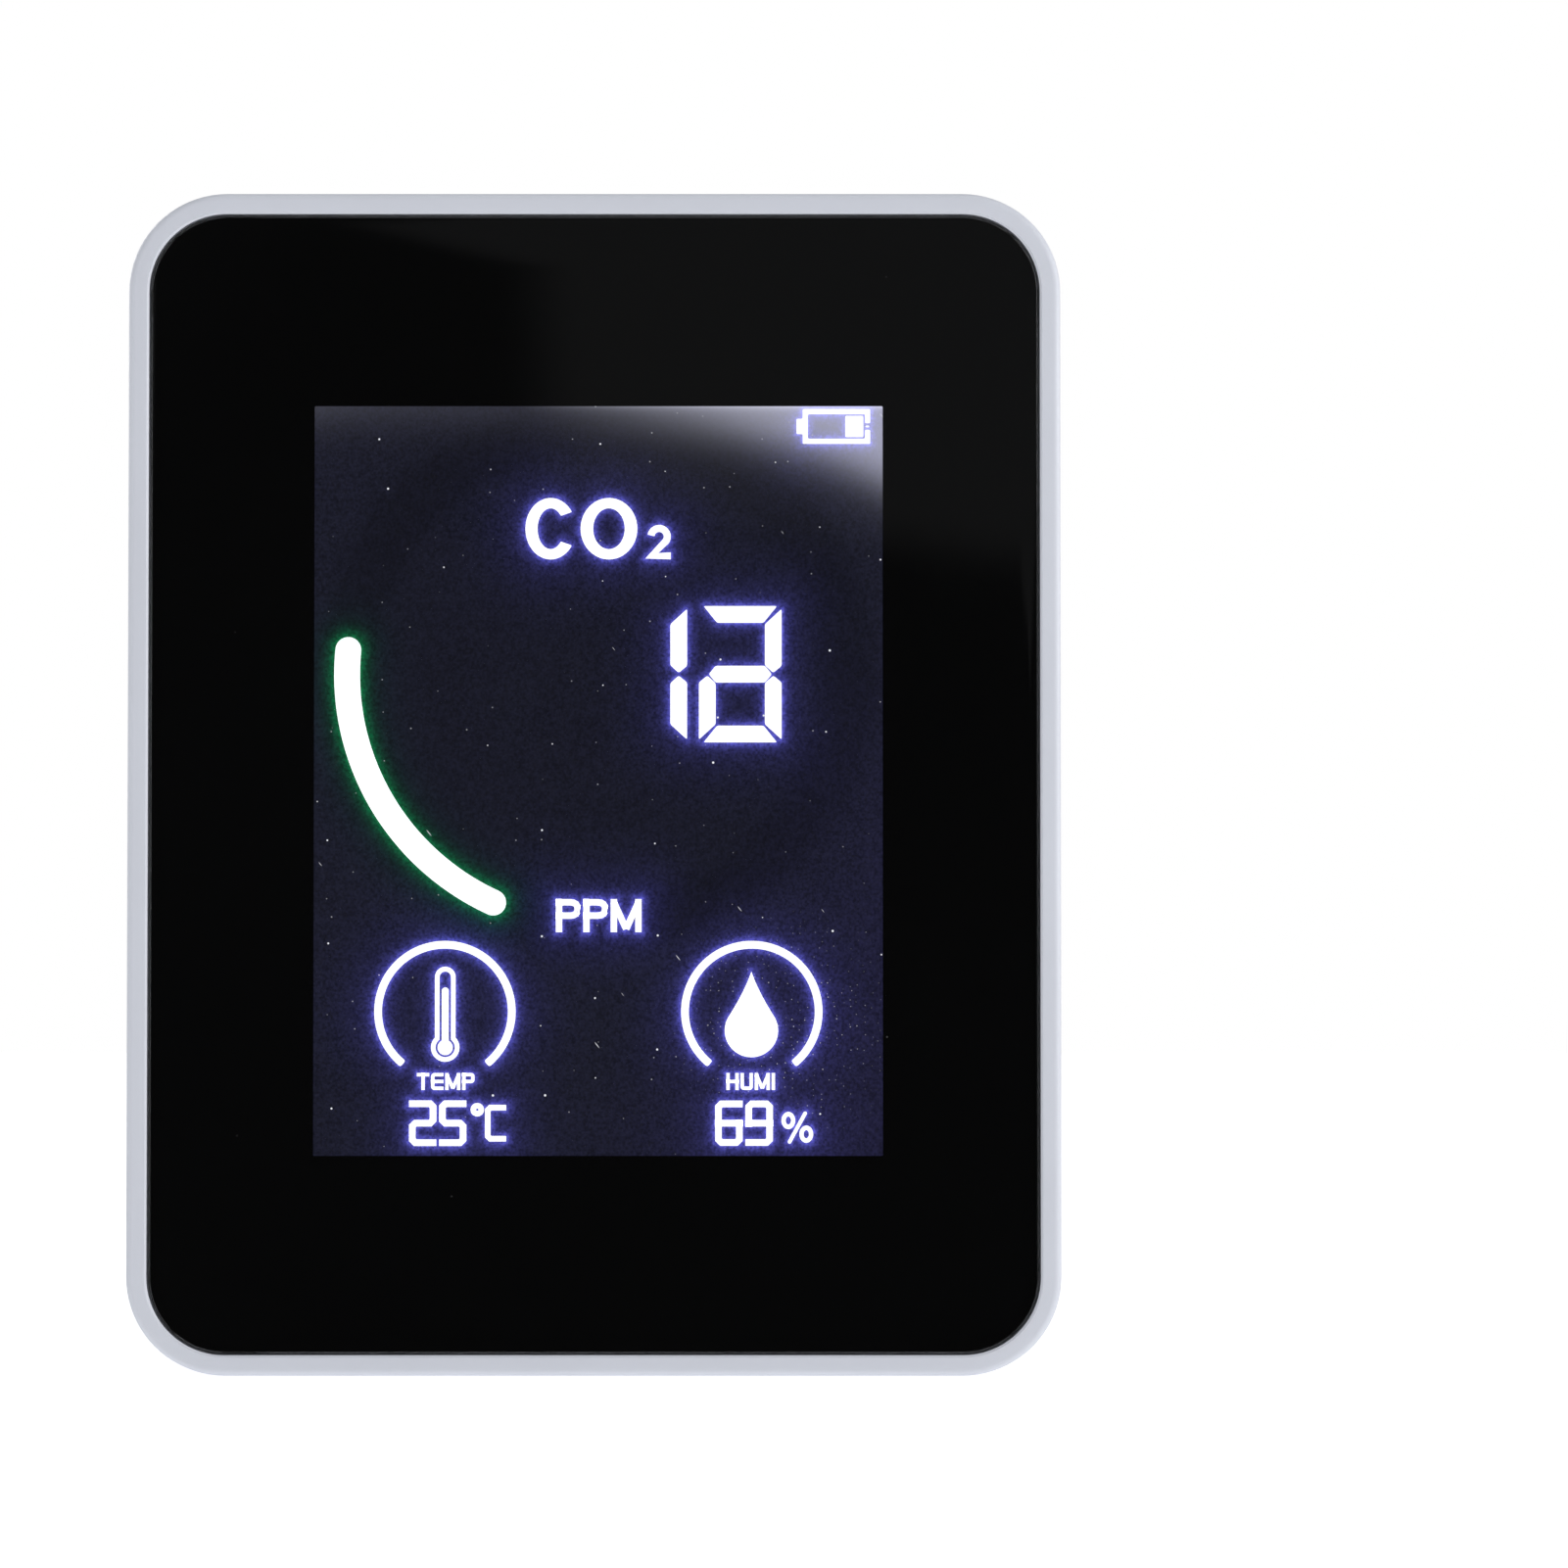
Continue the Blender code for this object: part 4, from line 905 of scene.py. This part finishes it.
def sign_outlines():
    """Every lit sign: its name, its groups of outlines and whether it is green."""
    formula = [open_oval(4.9, 5.96, 1.18, 1.0, 33, (-4.64, 24.38))]
    formula += [oval_ring(5.5, 5.96, 1.22, 1.0, (1.0, 24.38))]
    formula += [figure_two(2.26, 3.34, 0.68, (5.86, 23.08))]
    figure = segment_digit("bc", (4.57, 10.28), 8.0, 13.2, 1.62, 0.2)
    figure += segment_digit("abgecd", (13.72, 10.28), 8.0, 13.2, 1.62, 0.2)
    level = [[stroke(arc(GAUGE_MIDDLE, 24.27, 174.4, 245.4, 60), 2.5, True, 16)]]
    temperature = lettering("25", -18.25, READING_Z, 4.4, 2.64, 0.64, 0.26)
    temperature += lettering("C", -10.92, READING_Z, 3.54, 2.05, 0.54, 0)
    temperature += [oval_ring(1.3, 1.3, 0.53, 0.53, (-11.66, -31.8))]
    humidity = lettering("69", 11.3, READING_Z, 4.36, 2.66, 0.64, 0.26)
    humidity += percent_sign(19.25, -33.5)
    label = {"height": 1.64, "wide": 1.2, "weight": 0.33, "gap": 0.17, "bend": 0.6}
    return [
        ("sign_battery", battery_sign((23.03, 34.3)), False),
        ("sign_formula", formula, False),
        ("sign_level", level, True),
        ("sign_figure", figure, False),
        ("sign_unit", lettering("PPM", -4.1, -13.07, 3.2, 2.45, 0.62, 0.2, 1.2), False),
        ("sign_temperature_ring", gauge_ring((-14.8, -22.34)), False),
        ("sign_thermometer", thermometer(-14.77), False),
        ("sign_temperature_word", lettering("TEMP", -17.5, LABEL_Z, **label), False),
        ("sign_temperature_value", temperature, False),
        ("sign_humidity_ring", gauge_ring((14.84, -22.34)), False),
        ("sign_drop", water_drop(14.8), False),
        ("sign_humidity_word", lettering("HUMI", 12.38, LABEL_Z, **label), False),
        ("sign_humidity_value", humidity, False),
    ]


def add_filled(bm, group):
    """Adds a thin flat plate of a group's outlines, in the XY plane and in millimetres."""
    curve = bpy.data.curves.new("outline", "CURVE")
    curve.dimensions = "2D"
    curve.fill_mode = "BOTH"
    curve.extrude = SIGN_THICKNESS / MM / 2
    for outline in group:
        spline = curve.splines.new("POLY")
        spline.points.add(len(outline) - 1)
        for point, (x, z) in zip(spline.points, outline):
            point.co = (x, z, 0, 1)
        spline.use_cyclic_u = True
    drawn = bpy.data.objects.new("drawn", curve)
    bpy.context.scene.collection.objects.link(drawn)
    graph = bpy.context.evaluated_depsgraph_get()
    mesh = bpy.data.meshes.new_from_object(drawn.evaluated_get(graph), depsgraph=graph)
    bm.from_mesh(mesh)
    bpy.data.objects.remove(drawn)
    bpy.data.meshes.remove(mesh)


def sign_plate(name, groups):
    """A sign as thin plates just in front of the display's face."""
    bm = bmesh.new()
    for group in groups:
        add_filled(bm, group)
    bmesh.ops.remove_doubles(bm, verts=bm.verts, dist=1e-4)
    middle_y = FACE_Y - SIGN_LIFT - SIGN_THICKNESS / 2
    for vert in bm.verts:
        x, z, depth = vert.co * MM
        vert.co = (WINDOW_X + x, middle_y + depth, WINDOW_Z + z)
    return mesh_object(name, bm)


def distance_to(points, outlines):
    """The distance in millimetres from each point to the nearest of the outlines' edges."""
    nearest = np.full(len(points), 1e9)
    for outline in outlines:
        corners = np.array(outline)
        for start, end in zip(corners, np.roll(corners, -1, axis=0)):
            run = end - start
            length = run @ run
            if length < 1e-12:
                continue
            share = np.clip((points - start) @ run / length, 0, 1)
            gap = points - start - share[:, None] * run
            nearest = np.minimum(nearest, (gap * gap).sum(1))
    return np.sqrt(nearest)


def glow_over(points, signs):
    """The glow at each point of the dark field, as linear RGB, then a painted reflection of light
    along its top edge.
    """
    across, up = points[:, 0], points[:, 1]
    outlines = {True: [], False: []}
    for _, groups, green in signs:
        for group in groups:
            outlines[green] += group
    white = distance_to(points, outlines[False])[:, None]
    green = distance_to(points, outlines[True])[:, None]
    light = np.tile(np.array([0.0076, 0.0081, 0.0172]), (len(points), 1))

    # The gauge's unlit ring shows as a darker band, with a slightly lighter field outside it.
    from_gauge = np.hypot(across - GAUGE_MIDDLE[0], up - GAUGE_MIDDLE[1])[:, None]
    band = step_up(from_gauge, 21.4, 0.35) - step_up(from_gauge, 26.9, 0.45)
    light *= 1 - 0.25 * band + 0.16 * step_up(from_gauge, 26.9, 0.6)
    corner = np.clip((across - up * 0.6 - 16) / 24, 0, 1)[:, None]
    light += corner * np.array([0.003, 0.002, 0.016])

    light += np.exp(-white / 0.28) * np.array([0.095, 0.095, 0.58])
    light += np.exp(-white / 2.0) * np.array([0.014, 0.013, 0.08])
    light[:, :1] *= 1 - 0.6 * np.exp(-green / 1.5)
    light += np.exp(-green / 0.42) * np.array([0.0, 0.14, 0.035])
    light += np.exp(-green / 1.3) * np.array([0.0, 0.014, 0.003])

    # A reflection of light along the top edge, strongest at its right-hand corner, is painted into
    # the glow.
    from_top = WINDOW_HEIGHT / MM / 2 - up
    right = across / (WINDOW_WIDTH / MM) + 0.5
    rise = np.clip((right - 0.36) / 0.5, 0, 1)
    strength = 0.04 + 0.38 * rise**2 * (3 - 2 * rise) + 0.03 * np.exp(-np.clip(right, 0, 1) / 0.09)
    reach = 0.5 + 6.2 * np.clip((right - 0.45) / 0.55, 0, None) ** 2.5
    painted_reflection = strength * (1 - step_up(from_top, reach, 1.2))
    painted_reflection += 0.3 * rise * np.exp(-np.clip(from_top, 0, None) / 0.25)
    return np.hstack([light, painted_reflection[:, None]])


def step_up(value, middle, spread):
    """Rises smoothly from nought to one round the middle."""
    return 1 / (1 + np.exp((middle - value) / spread))


def display():
    """The display's dark field and each lit sign on it."""
    signs = sign_outlines()
    low, high = FACE
    width, height = size_of(FACE, "xz")
    middle = (low + high) / 2
    bm = bmesh.new()
    columns = round(width / GLOW_PITCH)
    rows = round(height / GLOW_PITCH)
    bmesh.ops.create_grid(bm, x_segments=columns, y_segments=rows, size=0.5)
    for vert in bm.verts:
        vert.co = (middle.x + vert.co.x * width, low.y, middle.z + vert.co.y * height)
    border = [edge for edge in bm.edges if edge.is_boundary]
    skirt = bmesh.ops.extrude_edge_only(bm, edges=border)["geom"]
    back = [item for item in skirt if isinstance(item, bmesh.types.BMVert)]
    bmesh.ops.translate(bm, vec=(0, high.y - low.y, 0), verts=back)
    bmesh.ops.contextual_create(bm, geom=[edge for edge in bm.edges if edge.is_boundary])
    field = mesh_object("display_field", bm)
    places = np.empty(len(field.data.vertices) * 3)
    field.data.vertices.foreach_get("co", places)
    places = places.reshape(-1, 3)
    flat = np.stack([places[:, 0] - WINDOW_X, places[:, 2] - WINDOW_Z], axis=1) / MM
    glow = glow_over(flat, signs).astype(np.float32)
    layer = field.data.attributes.new("glow", "FLOAT_COLOR", "POINT")
    layer.data.foreach_set("color", glow.ravel())
    show(field, "case", "polariser", FIELD, "front_polariser")
    for name, groups, green in signs:
        plate = sign_plate(name, groups)
        show(plate, "case", "polariser", SIGN_GREEN if green else SIGN_WHITE)


# ---------------------------------------------------------------- rear shell
def cover_walls():
    """The rear cover's outer face, rounded edge, side walls, joint groove and inner face."""
    rear_edge = 2.6 * MM
    inner_edge = 1.0 * MM
    flat = 6 * MM
    groove = 0.8 * MM
    groove_y = COVER_SPLIT_Y + LIP_DEPTH
    profile = [(flat, REAR_Y)]
    for sine, cosine in quarter_turn(12):
        profile.append((rear_edge * sine, REAR_Y - rear_edge * cosine))
    profile += [(0, COVER_SPLIT_Y + SEAM), (SEAM, COVER_SPLIT_Y), (groove, COVER_SPLIT_Y)]
    profile += [(groove, groove_y), (WALL, groove_y)]
    for sine, cosine in quarter_turn(4):
        profile.append((WALL + inner_edge * cosine, INNER_Y - inner_edge * sine))
    return case_loft([*profile, (flat, INNER_Y)])


def vent_cutters():
    """The upright rear vents and the short ones in both sides, with rounded mouths."""
    rear = bmesh.new()
    corner = VENT_WIDTH * HALF_ROUND
    size = (VENT_WIDTH, VENT_SPAN[1] - VENT_SPAN[0])
    mouth = mouth_profile(INNER_Y - THROUGH, REAR_Y, REAR_Y + THROUGH, 0.35 * MM)
    for index in range(VENT_COUNT):
        x = (index - (VENT_COUNT - 1) / 2) * VENT_PITCH
        place = facing_y((x, (VENT_SPAN[0] + VENT_SPAN[1]) / 2))
        add_loft(rear, size, corner, mouth, place, steps=6)
    sides = bmesh.new()
    size = (SIDE_VENT_SPAN[1] - SIDE_VENT_SPAN[0], VENT_WIDTH)
    middle_y = (SIDE_VENT_SPAN[0] + SIDE_VENT_SPAN[1]) / 2
    for side in (-1, 1):
        wall = side * CASE_WIDTH / 2
        mouth = mouth_profile(wall - side * 5 * MM, wall, wall + side * THROUGH, 0.3 * MM)
        for index in range(SIDE_VENT_COUNT):
            z = SIDE_VENT_MIDDLE + (index - (SIDE_VENT_COUNT - 1) / 2) * SIDE_VENT_PITCH
            add_loft(sides, size, corner, mouth, facing_x((middle_y, z)), steps=6)
    return rear, sides


def rear_shell():
    """The rear cover, with everything that is cut into it."""
    cover = mesh_object("rear_shell", cover_walls())
    slack = 0.35 * MM
    half = STAND[1].x + slack
    low_z = STAND[0].z - 1.2 * MM
    high_z = STAND[1].z + slack
    backing = box(
        (-half - WALL, RECESS_FLOOR_Y - 1.6 * MM, WALL / 2),
        (half + WALL, INNER_Y + WALL / 2, high_z + WALL),
    )
    recess_place = facing_y((0, (low_z + high_z) / 2))
    mouth = mouth_profile(RECESS_FLOOR_Y, REAR_Y, REAR_Y + THROUGH, 0.3 * MM)
    recess = loft((2 * half, high_z - low_z), 0.8 * MM, mouth, recess_place, steps=5)
    posts = bmesh.new()
    bores = bmesh.new()
    wells = bmesh.new()
    well_r = 2.9 * MM
    mouth = mouth_profile(HEAD_SEAT_Y, REAR_Y, REAR_Y + THROUGH, 0.35 * MM)
    for place in CASE_SCREWS:
        spot = facing_y(place)
        add_post(posts, CASE_POST_R, spot, BOARD[1].y + 0.3 * MM, INNER_Y + WALL / 2)
        add_post(bores, 1.3 * MM, spot, BOARD[1].y - THROUGH, REAR_Y + THROUGH, 6)
        add_loft(wells, (2 * well_r, 2 * well_r), well_r, mouth, spot, steps=12)
    hinge = bmesh.new()
    reach = half + 1.4 * MM
    hinge_place = facing_x((STAND_AXIS.y, STAND_AXIS.z))
    add_post(hinge, STAND_BORE_R, hinge_place, -reach, reach, 6)
    side_x = CASE_WIDTH / 2
    mouth = mouth_profile(side_x - 5 * MM, side_x, side_x + THROUGH, 0.4 * MM)
    port_place = facing_x(middle_of(USB, "yz"))
    port = loft((4 * MM, 8.6 * MM), 1 * MM, mouth, port_place, steps=8)
    key_size = tuple(side - 1.5 * MM for side in size_of(KEY, "xy"))
    low_z = CASE_HEIGHT - 5 * MM
    mouth = mouth_profile(low_z, CASE_HEIGHT, CASE_HEIGHT + THROUGH, 0.25 * MM)
    key_place = facing_z(middle_of(KEY, "xy"))
    key_hole = loft(key_size, key_size[1] * HALF_ROUND, mouth, key_place, steps=12)
    cuts = [recess, bores, wells, hinge, port, key_hole, *vent_cutters()]
    combine(cover, "UNION", backing, posts, "DIFFERENCE", *cuts)
    show(cover, "case", "white_abs", WHITE, "rear_cover")


def vent_mesh():
    """A woven mesh behind the rear vents: wires that pass over and under each other."""
    low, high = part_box("dust_mesh")
    pitch = 0.85 * MM
    radius = 0.13 * MM
    sway = 0.07 * MM
    diamond = [(radius, 0), (0, radius), (-radius, 0), (0, -radius)]
    middle_y = (low.y + high.y) / 2
    bm = bmesh.new()
    columns = int((high.x - low.x) / pitch)
    rows = int((high.z - low.z) / pitch)

    def wire(count, spot, phase):
        loops = []
        for index in range(count + 1):
            depth = middle_y + sway * (1 if (index + phase) % 2 else -1)
            points = [spot(index, depth, *corner) for corner in diamond]
            loops.append([bm.verts.new(point) for point in points])
        add_tube(bm, loops)

    for column in range(columns):
        x = low.x + (column + 0.5) * pitch
        wire(rows, lambda i, y, a, b: (x + a, y + b, min(low.z + i * pitch, high.z)), column)
    for row in range(rows):
        z = low.z + (row + 0.5) * pitch
        wire(columns, lambda i, y, a, b: (min(low.x + i * pitch, high.x), y + b, z + a), row + 1)
    mesh = mesh_object("vent_mesh", bm, smooth=False)
    show(mesh, "case", "vent_fabric", FABRIC, "dust_mesh")


# ---------------------------------------------------------------- small parts
def case_screw(number, place):
    """A pan-head screw in its well: domed head, cross recess, shank with a thread, point."""
    name = f"case_screw_{number}"
    low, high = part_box(name)
    spot = facing_y(place)
    seat = HEAD_SEAT_Y + 0.2 * MM
    head = (high.x - low.x) / 2
    rise = high.y - seat
    shank = 0.78 * MM
    crest = 0.9 * MM
    pitch = 0.7 * MM
    profile = [(0, high.y)]
    for step in range(1, 7):
        turn = math.radians(15 * step)
        profile.append((head * math.sin(turn), seat + rise * (0.35 + 0.65 * math.cos(turn))))
    profile += [(head, seat), (shank, seat)]
    turns = int((seat - low.y - 2.5 * MM) / pitch)
    for index in range(turns):
        depth = seat - 1 * MM - index * pitch
        profile += [(shank, depth), (crest, depth - pitch * 0.3), (shank, depth - pitch * 0.6)]
    profile += [(0.1 * MM, low.y), (0, low.y)]
    bm = bmesh.new()
    add_turned(bm, profile, spot, 28)
    screw = mesh_object(name + "_detail", bm)
    recess = bmesh.new()
    arm = 1.15 * MM
    narrow = 0.24 * MM
    taper = [(0.09 * MM, seat + rise * 0.3), (0, high.y + THROUGH)]
    for wide, tall in ((arm, narrow), (narrow, arm)):
        add_loft(recess, (2 * wide, 2 * tall), 0.1 * MM, taper, spot, steps=2)
    cross = mesh_object("cross", recess, smooth=False)
    modifier = screw.modifiers.new("recess", "BOOLEAN")
    modifier.operation = "DIFFERENCE"
    modifier.use_self = True
    modifier.object = cross
    settle(screw)
    bpy.data.objects.remove(cross)
    show(screw, "case", "nickel_steel", STEEL, name)


def power_key():
    """The key on the top edge, with a shallow ring as a touch mark, its flange and its stem."""
    low, high = KEY
    size = size_of(KEY, "xy")
    place = facing_z(middle_of(KEY, "xy"))
    width, depth = (side - 2 * MM for side in size)
    foot = CASE_HEIGHT - WALL - 2 * MM
    profile = [(0, foot)] + edge_profile(foot, high.z, 0.0, 0.5 * MM, 6)[7:]
    body = loft((width, depth), depth * HALF_ROUND, profile, place, steps=14)
    key = mesh_object("power_key", body)
    top = CASE_HEIGHT - WALL - 0.3 * MM
    profile = edge_profile(top - 1 * MM, top, 0.15 * MM, 0.15 * MM, 2)
    flange = loft(size, size[1] * HALF_ROUND, profile, place, steps=10)
    stem = bmesh.new()
    stem_place = facing_z(middle_of(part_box("switch_plunger"), "xy"))
    add_post(stem, 1.3 * MM, stem_place, low.z, top - 0.5 * MM)
    ring_r = 1.3 * MM
    floor_z = high.z - 0.14 * MM
    above = high.z + 0.5 * MM
    line = 0.32 * MM
    profile = [(0, above), (0, floor_z), (line, floor_z), (line, above)]
    groove = loft((2 * ring_r, 2 * ring_r), ring_r, profile, place, steps=10, ring=True)
    combine(key, "UNION", flange, stem, "DIFFERENCE", groove)
    show(key, "power_key", "key_plastic", KEY_LOOK, "power_button")


def usb_outline(grow):
    """The socket's section, (y, z) about its middle: a box with two cut corners by the board."""
    half_y, half_z = (side / 2 - grow for side in size_of(USB, "yz"))
    cut = 0.8 * MM - grow * 0.4
    points = [(half_y, -half_z), (half_y, half_z), (-half_y + cut, half_z), (-half_y, half_z - cut)]
    points += [(-half_y, -half_z + cut), (-half_y + cut, -half_z)]
    return softened(points, 0.35 * MM, 4)


def charging_socket():
    """The folded steel shell with its rolled mouth, and the tongue with its contacts."""
    place = facing_x(middle_of(USB, "yz"))
    skin = 0.3 * MM
    back, front = (corner.x for corner in USB)
    bm = bmesh.new()
    sections = [(0, back), (0, front - 0.15 * MM), (0.06 * MM, front), (skin - 0.08 * MM, front)]
    sections += [(skin, front - 0.3 * MM), (skin, back + 1.2 * MM)]
    loops = []
    for grow, depth in sections:
        loops.append([bm.verts.new(place(point, depth)) for point in usb_outline(grow)])
    add_tube(bm, loops)
    socket = mesh_object("charging_socket", bm)
    show(socket, "case", "nickel_steel", STEEL, "usb_socket")

    tongue_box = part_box("usb_tongue")
    low, high = tongue_box
    middle = middle_of(tongue_box, "yz")
    profile = edge_profile(low.x, high.x, 0.05 * MM, 0.2 * MM, 3)
    body = loft(size_of(tongue_box, "yz"), 0.1 * MM, profile, facing_x(middle), steps=3)
    tongue = mesh_object("socket_tongue", body)
    show(tongue, "case", "black_epoxy", BLACK_PLASTIC, "usb_tongue")
    contacts = bmesh.new()
    profile = [(0.02 * MM, low.y - 0.06 * MM), (0, low.y - 0.01 * MM)]
    start_x = high.x - 2.1 * MM

    def lying_at(z):
        """Lays an outline flat on the tongue, its long side along X."""
        return lambda point, depth: (start_x + point[1], depth, z + point[0])

    for index in range(5):
        place = lying_at(middle[1] + (index - 2) * 0.65 * MM)
        add_loft(contacts, (0.35 * MM, 3 * MM), 0.1 * MM, profile, place, steps=2)
    strips = mesh_object("socket_contacts", contacts)
    show(strips, "case", "gold_plate", GOLD)


def stand():
    """The fold-out plate: finger notch, sunk panel with ribs, knuckle and two ribbed pads."""
    low, high = STAND
    middle = (0, (low.z + STAND_AXIS.z) / 2)
    size = (high.x - low.x, STAND_AXIS.z - low.z)
    rear_y = high.y
    beyond_y = rear_y + THROUGH
    front_y = rear_y - 2.2 * MM
    profile = edge_profile(front_y, rear_y, 0.25 * MM, 0.3 * MM, 3)
    slab = loft(size, 4 * MM, profile, facing_y(middle), steps=12)
    plate = mesh_object("stand_plate", slab)
    root = box((low.x, front_y, STAND_AXIS.z - 6 * MM), (high.x, rear_y, STAND_AXIS.z))
    knuckle = bmesh.new()
    spot = facing_x((STAND_AXIS.y, STAND_AXIS.z))
    add_post(knuckle, 1.15 * MM, spot, low.x, high.x, 10)
    bore = bmesh.new()
    add_post(bore, STAND_BORE_R, spot, low.x - THROUGH, high.x + THROUGH, 6)
    mouth = mouth_profile(front_y - THROUGH, rear_y, beyond_y, 0.35 * MM)
    notch_place = facing_y((0, low.z - 3 * MM))
    notch = loft((14 * MM, 14 * MM), 7 * MM, mouth, notch_place, steps=14)
    panel_low = low.z + 12 * MM
    panel_high = STAND_AXIS.z - 6 * MM
    panel_size = (size[0] - 10 * MM, panel_high - panel_low)
    floor_y = rear_y - 0.6 * MM
    mouth = mouth_profile(floor_y, rear_y, beyond_y, 0.2 * MM)
    sunk = loft(panel_size, 3 * MM, mouth, facing_y((0, (panel_low + panel_high) / 2)), steps=8)
    ribs = bmesh.new()
    rib_foot = floor_y - 0.2 * MM
    profile = edge_profile(rib_foot, floor_y + 0.35 * MM, 0.0, 0.25 * MM, 3)[4:]
    profile.insert(0, (0, rib_foot))
    for index in range(5):
        z = panel_low + 4 * MM + index * 2.2 * MM
        add_loft(ribs, (20 * MM, 1 * MM), 0.49 * MM, profile, facing_y((0, z)), steps=5)
    seats = bmesh.new()
    pads = ("left", "right")
    mouth = mouth_profile(floor_y, rear_y, beyond_y, 0.12 * MM)
    for side in pads:
        pad_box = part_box("stand_pad_" + side)
        seat_size = tuple(length + 0.6 * MM for length in size_of(pad_box, "xz"))
        add_loft(seats, seat_size, 1.6 * MM, mouth, facing_y(middle_of(pad_box, "xz")), steps=6)
    joined = ("UNION", root, knuckle, "DIFFERENCE", bore, notch, sunk)
    combine(plate, *joined, "UNION", ribs, "DIFFERENCE", seats)
    show(plate, "stand", "white_abs", WHITE, "rear_stand")
    for side in pads:
        low, high = pad_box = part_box("stand_pad_" + side)
        pad_size = size_of(pad_box, "xz")
        profile = edge_profile(low.y, high.y, 0.05 * MM, 0.2 * MM, 3)
        body = loft(pad_size, 1.3 * MM, profile, facing_y(middle_of(pad_box, "xz")), steps=8)
        pad = mesh_object("pad_" + side, body)
        grooves = bmesh.new()
        for index in range(5):
            x = low.x + (index + 1) * pad_size[0] / 6
            groove_low = (x - 0.25 * MM, high.y - 0.2 * MM, low.z - THROUGH)
            add_box(grooves, groove_low, (x + 0.25 * MM, high.y + THROUGH, high.z + THROUGH))
        combine(pad, "DIFFERENCE", grooves)
        show(pad, "stand", "black_rubber", RUBBER, "stand_pad_" + side)


# ---------------------------------------------------------------- stage
def floor():
    """A pale paper floor, lit evenly enough to run into the white behind it."""
    bm = bmesh.new()
    bmesh.ops.create_grid(bm, x_segments=4, y_segments=4, size=1.2)
    ground = mesh_object("studio_floor", bm, smooth=False)
    look = Look("studio_paper", (0.9, 0.9, 0.9), 0.9)
    look.set("Specular IOR Level", 0.0)
    shade = look.span(look.noise(20 * MM, 3.0))
    look.link(look.mix(shade, (0.89, 0.89, 0.89), (0.91, 0.91, 0.91)), "Base Color")
    look.set("Emission Color", (1.0, 1.0, 1.0, 1.0))
    look.set("Emission Strength", 0.55)
    ground.data.materials.append(look.material)
    ground.visible_glossy = False


def soft_world():
    """A white surround to the eye, and soft light from all round, with less from straight ahead.

    A fainter patch ahead, above the middle and to the right, is the sheen on the pane.
    """
    world = bpy.data.worlds.new("studio")
    bpy.context.scene.world = world
    world.use_nodes = True
    graph = Graph(world.node_tree)
    graph.tree.nodes.clear()
    way = graph.node("ShaderNodeTexCoord").outputs["Generated"]
    split = graph.node("ShaderNodeSeparateXYZ", Vector=way).outputs
    ahead = graph.span(split["Y"], -0.97, -0.75, 0.025, 0.5, smooth=True)
    round_about = graph.span(split["Y"], -0.45, 0.1, 1.0, 0.89, smooth=True)
    soft = graph.math("MULTIPLY", ahead, round_about)
    above = graph.span(split["Z"], 0.08, 0.105, smooth=True)
    across = graph.span(split["X"], -0.10, -0.05, smooth=True)
    sheen = graph.math("MULTIPLY", across, graph.math("MULTIPLY", above, 0.11))
    strength = graph.math("ADD", soft, sheen)
    lamp = graph.node("ShaderNodeBackground", Color=(0.97, 0.98, 1, 1), Strength=strength)
    seen = graph.node("ShaderNodeBackground", Color=(1, 1, 1, 1))
    to_eye = graph.node("ShaderNodeLightPath").outputs["Is Camera Ray"]
    graph.node("ShaderNodeOutputWorld", Surface=graph.mixed_shader(to_eye, lamp, seen))


def softbox(name, location, size, power):
    """A soft rectangular lamp, aimed at the middle of the monitor."""
    light = bpy.data.lights.new(name, "AREA")
    light.shape = "RECTANGLE"
    light.size, light.size_y = size
    light.energy = power
    made = bpy.data.objects.new(name, light)
    made.location = location
    aim = Vector((0, 0, CASE_HEIGHT / 2)) - Vector(location)
    made.rotation_euler = aim.to_track_quat("-Z", "Y").to_euler()
    bpy.context.scene.collection.objects.link(made)


def lights():
    softbox("softbox_left", (-0.75, -0.55, 0.25), (0.5, 0.6), 0.4)
    softbox("softbox_right", (0.75, -0.55, 0.45), (0.5, 0.6), 1.0)
    softbox("softbox_side", (0.9, -0.2, 0.25), (0.3, 0.5), 2.4)
    softbox("softbox_top", (0.0, -0.15, 1.0), (0.7, 0.7), 1.0)
    softbox("softbox_rear", (-0.7, 0.8, 0.5), (0.4, 0.6), 2.6)


def camera():
    """A long lens half a metre away, a little below the middle, the monitor left of centre."""
    frame_width = 151.0 * MM
    distance = 0.5
    elevation = math.radians(-1.5)
    target = Vector((18.3 * MM, FRONT_Y, CASE_HEIGHT / 2 - 0.1 * MM))
    data = bpy.data.cameras.new("camera")
    data.sensor_width = 36.0
    data.lens = data.sensor_width * distance / frame_width
    made = bpy.data.objects.new("camera", data)
    back = Vector((0, -math.cos(elevation), math.sin(elevation)))
    made.location = target + back * distance
    made.rotation_euler = (-back).to_track_quat("-Z", "Y").to_euler()
    bpy.context.scene.collection.objects.link(made)
    bpy.context.scene.camera = made


def main():
    camera()
    front_shell()
    front_pane()
    display()
    rear_shell()
    vent_mesh()
    for number, place in enumerate(CASE_SCREWS, 1):
        case_screw(number, place)
    power_key()
    charging_socket()
    stand()
    dress_inside()
    floor()
    soft_world()
    lights()
    bpy.context.scene.view_settings.view_transform = "Standard"


main()
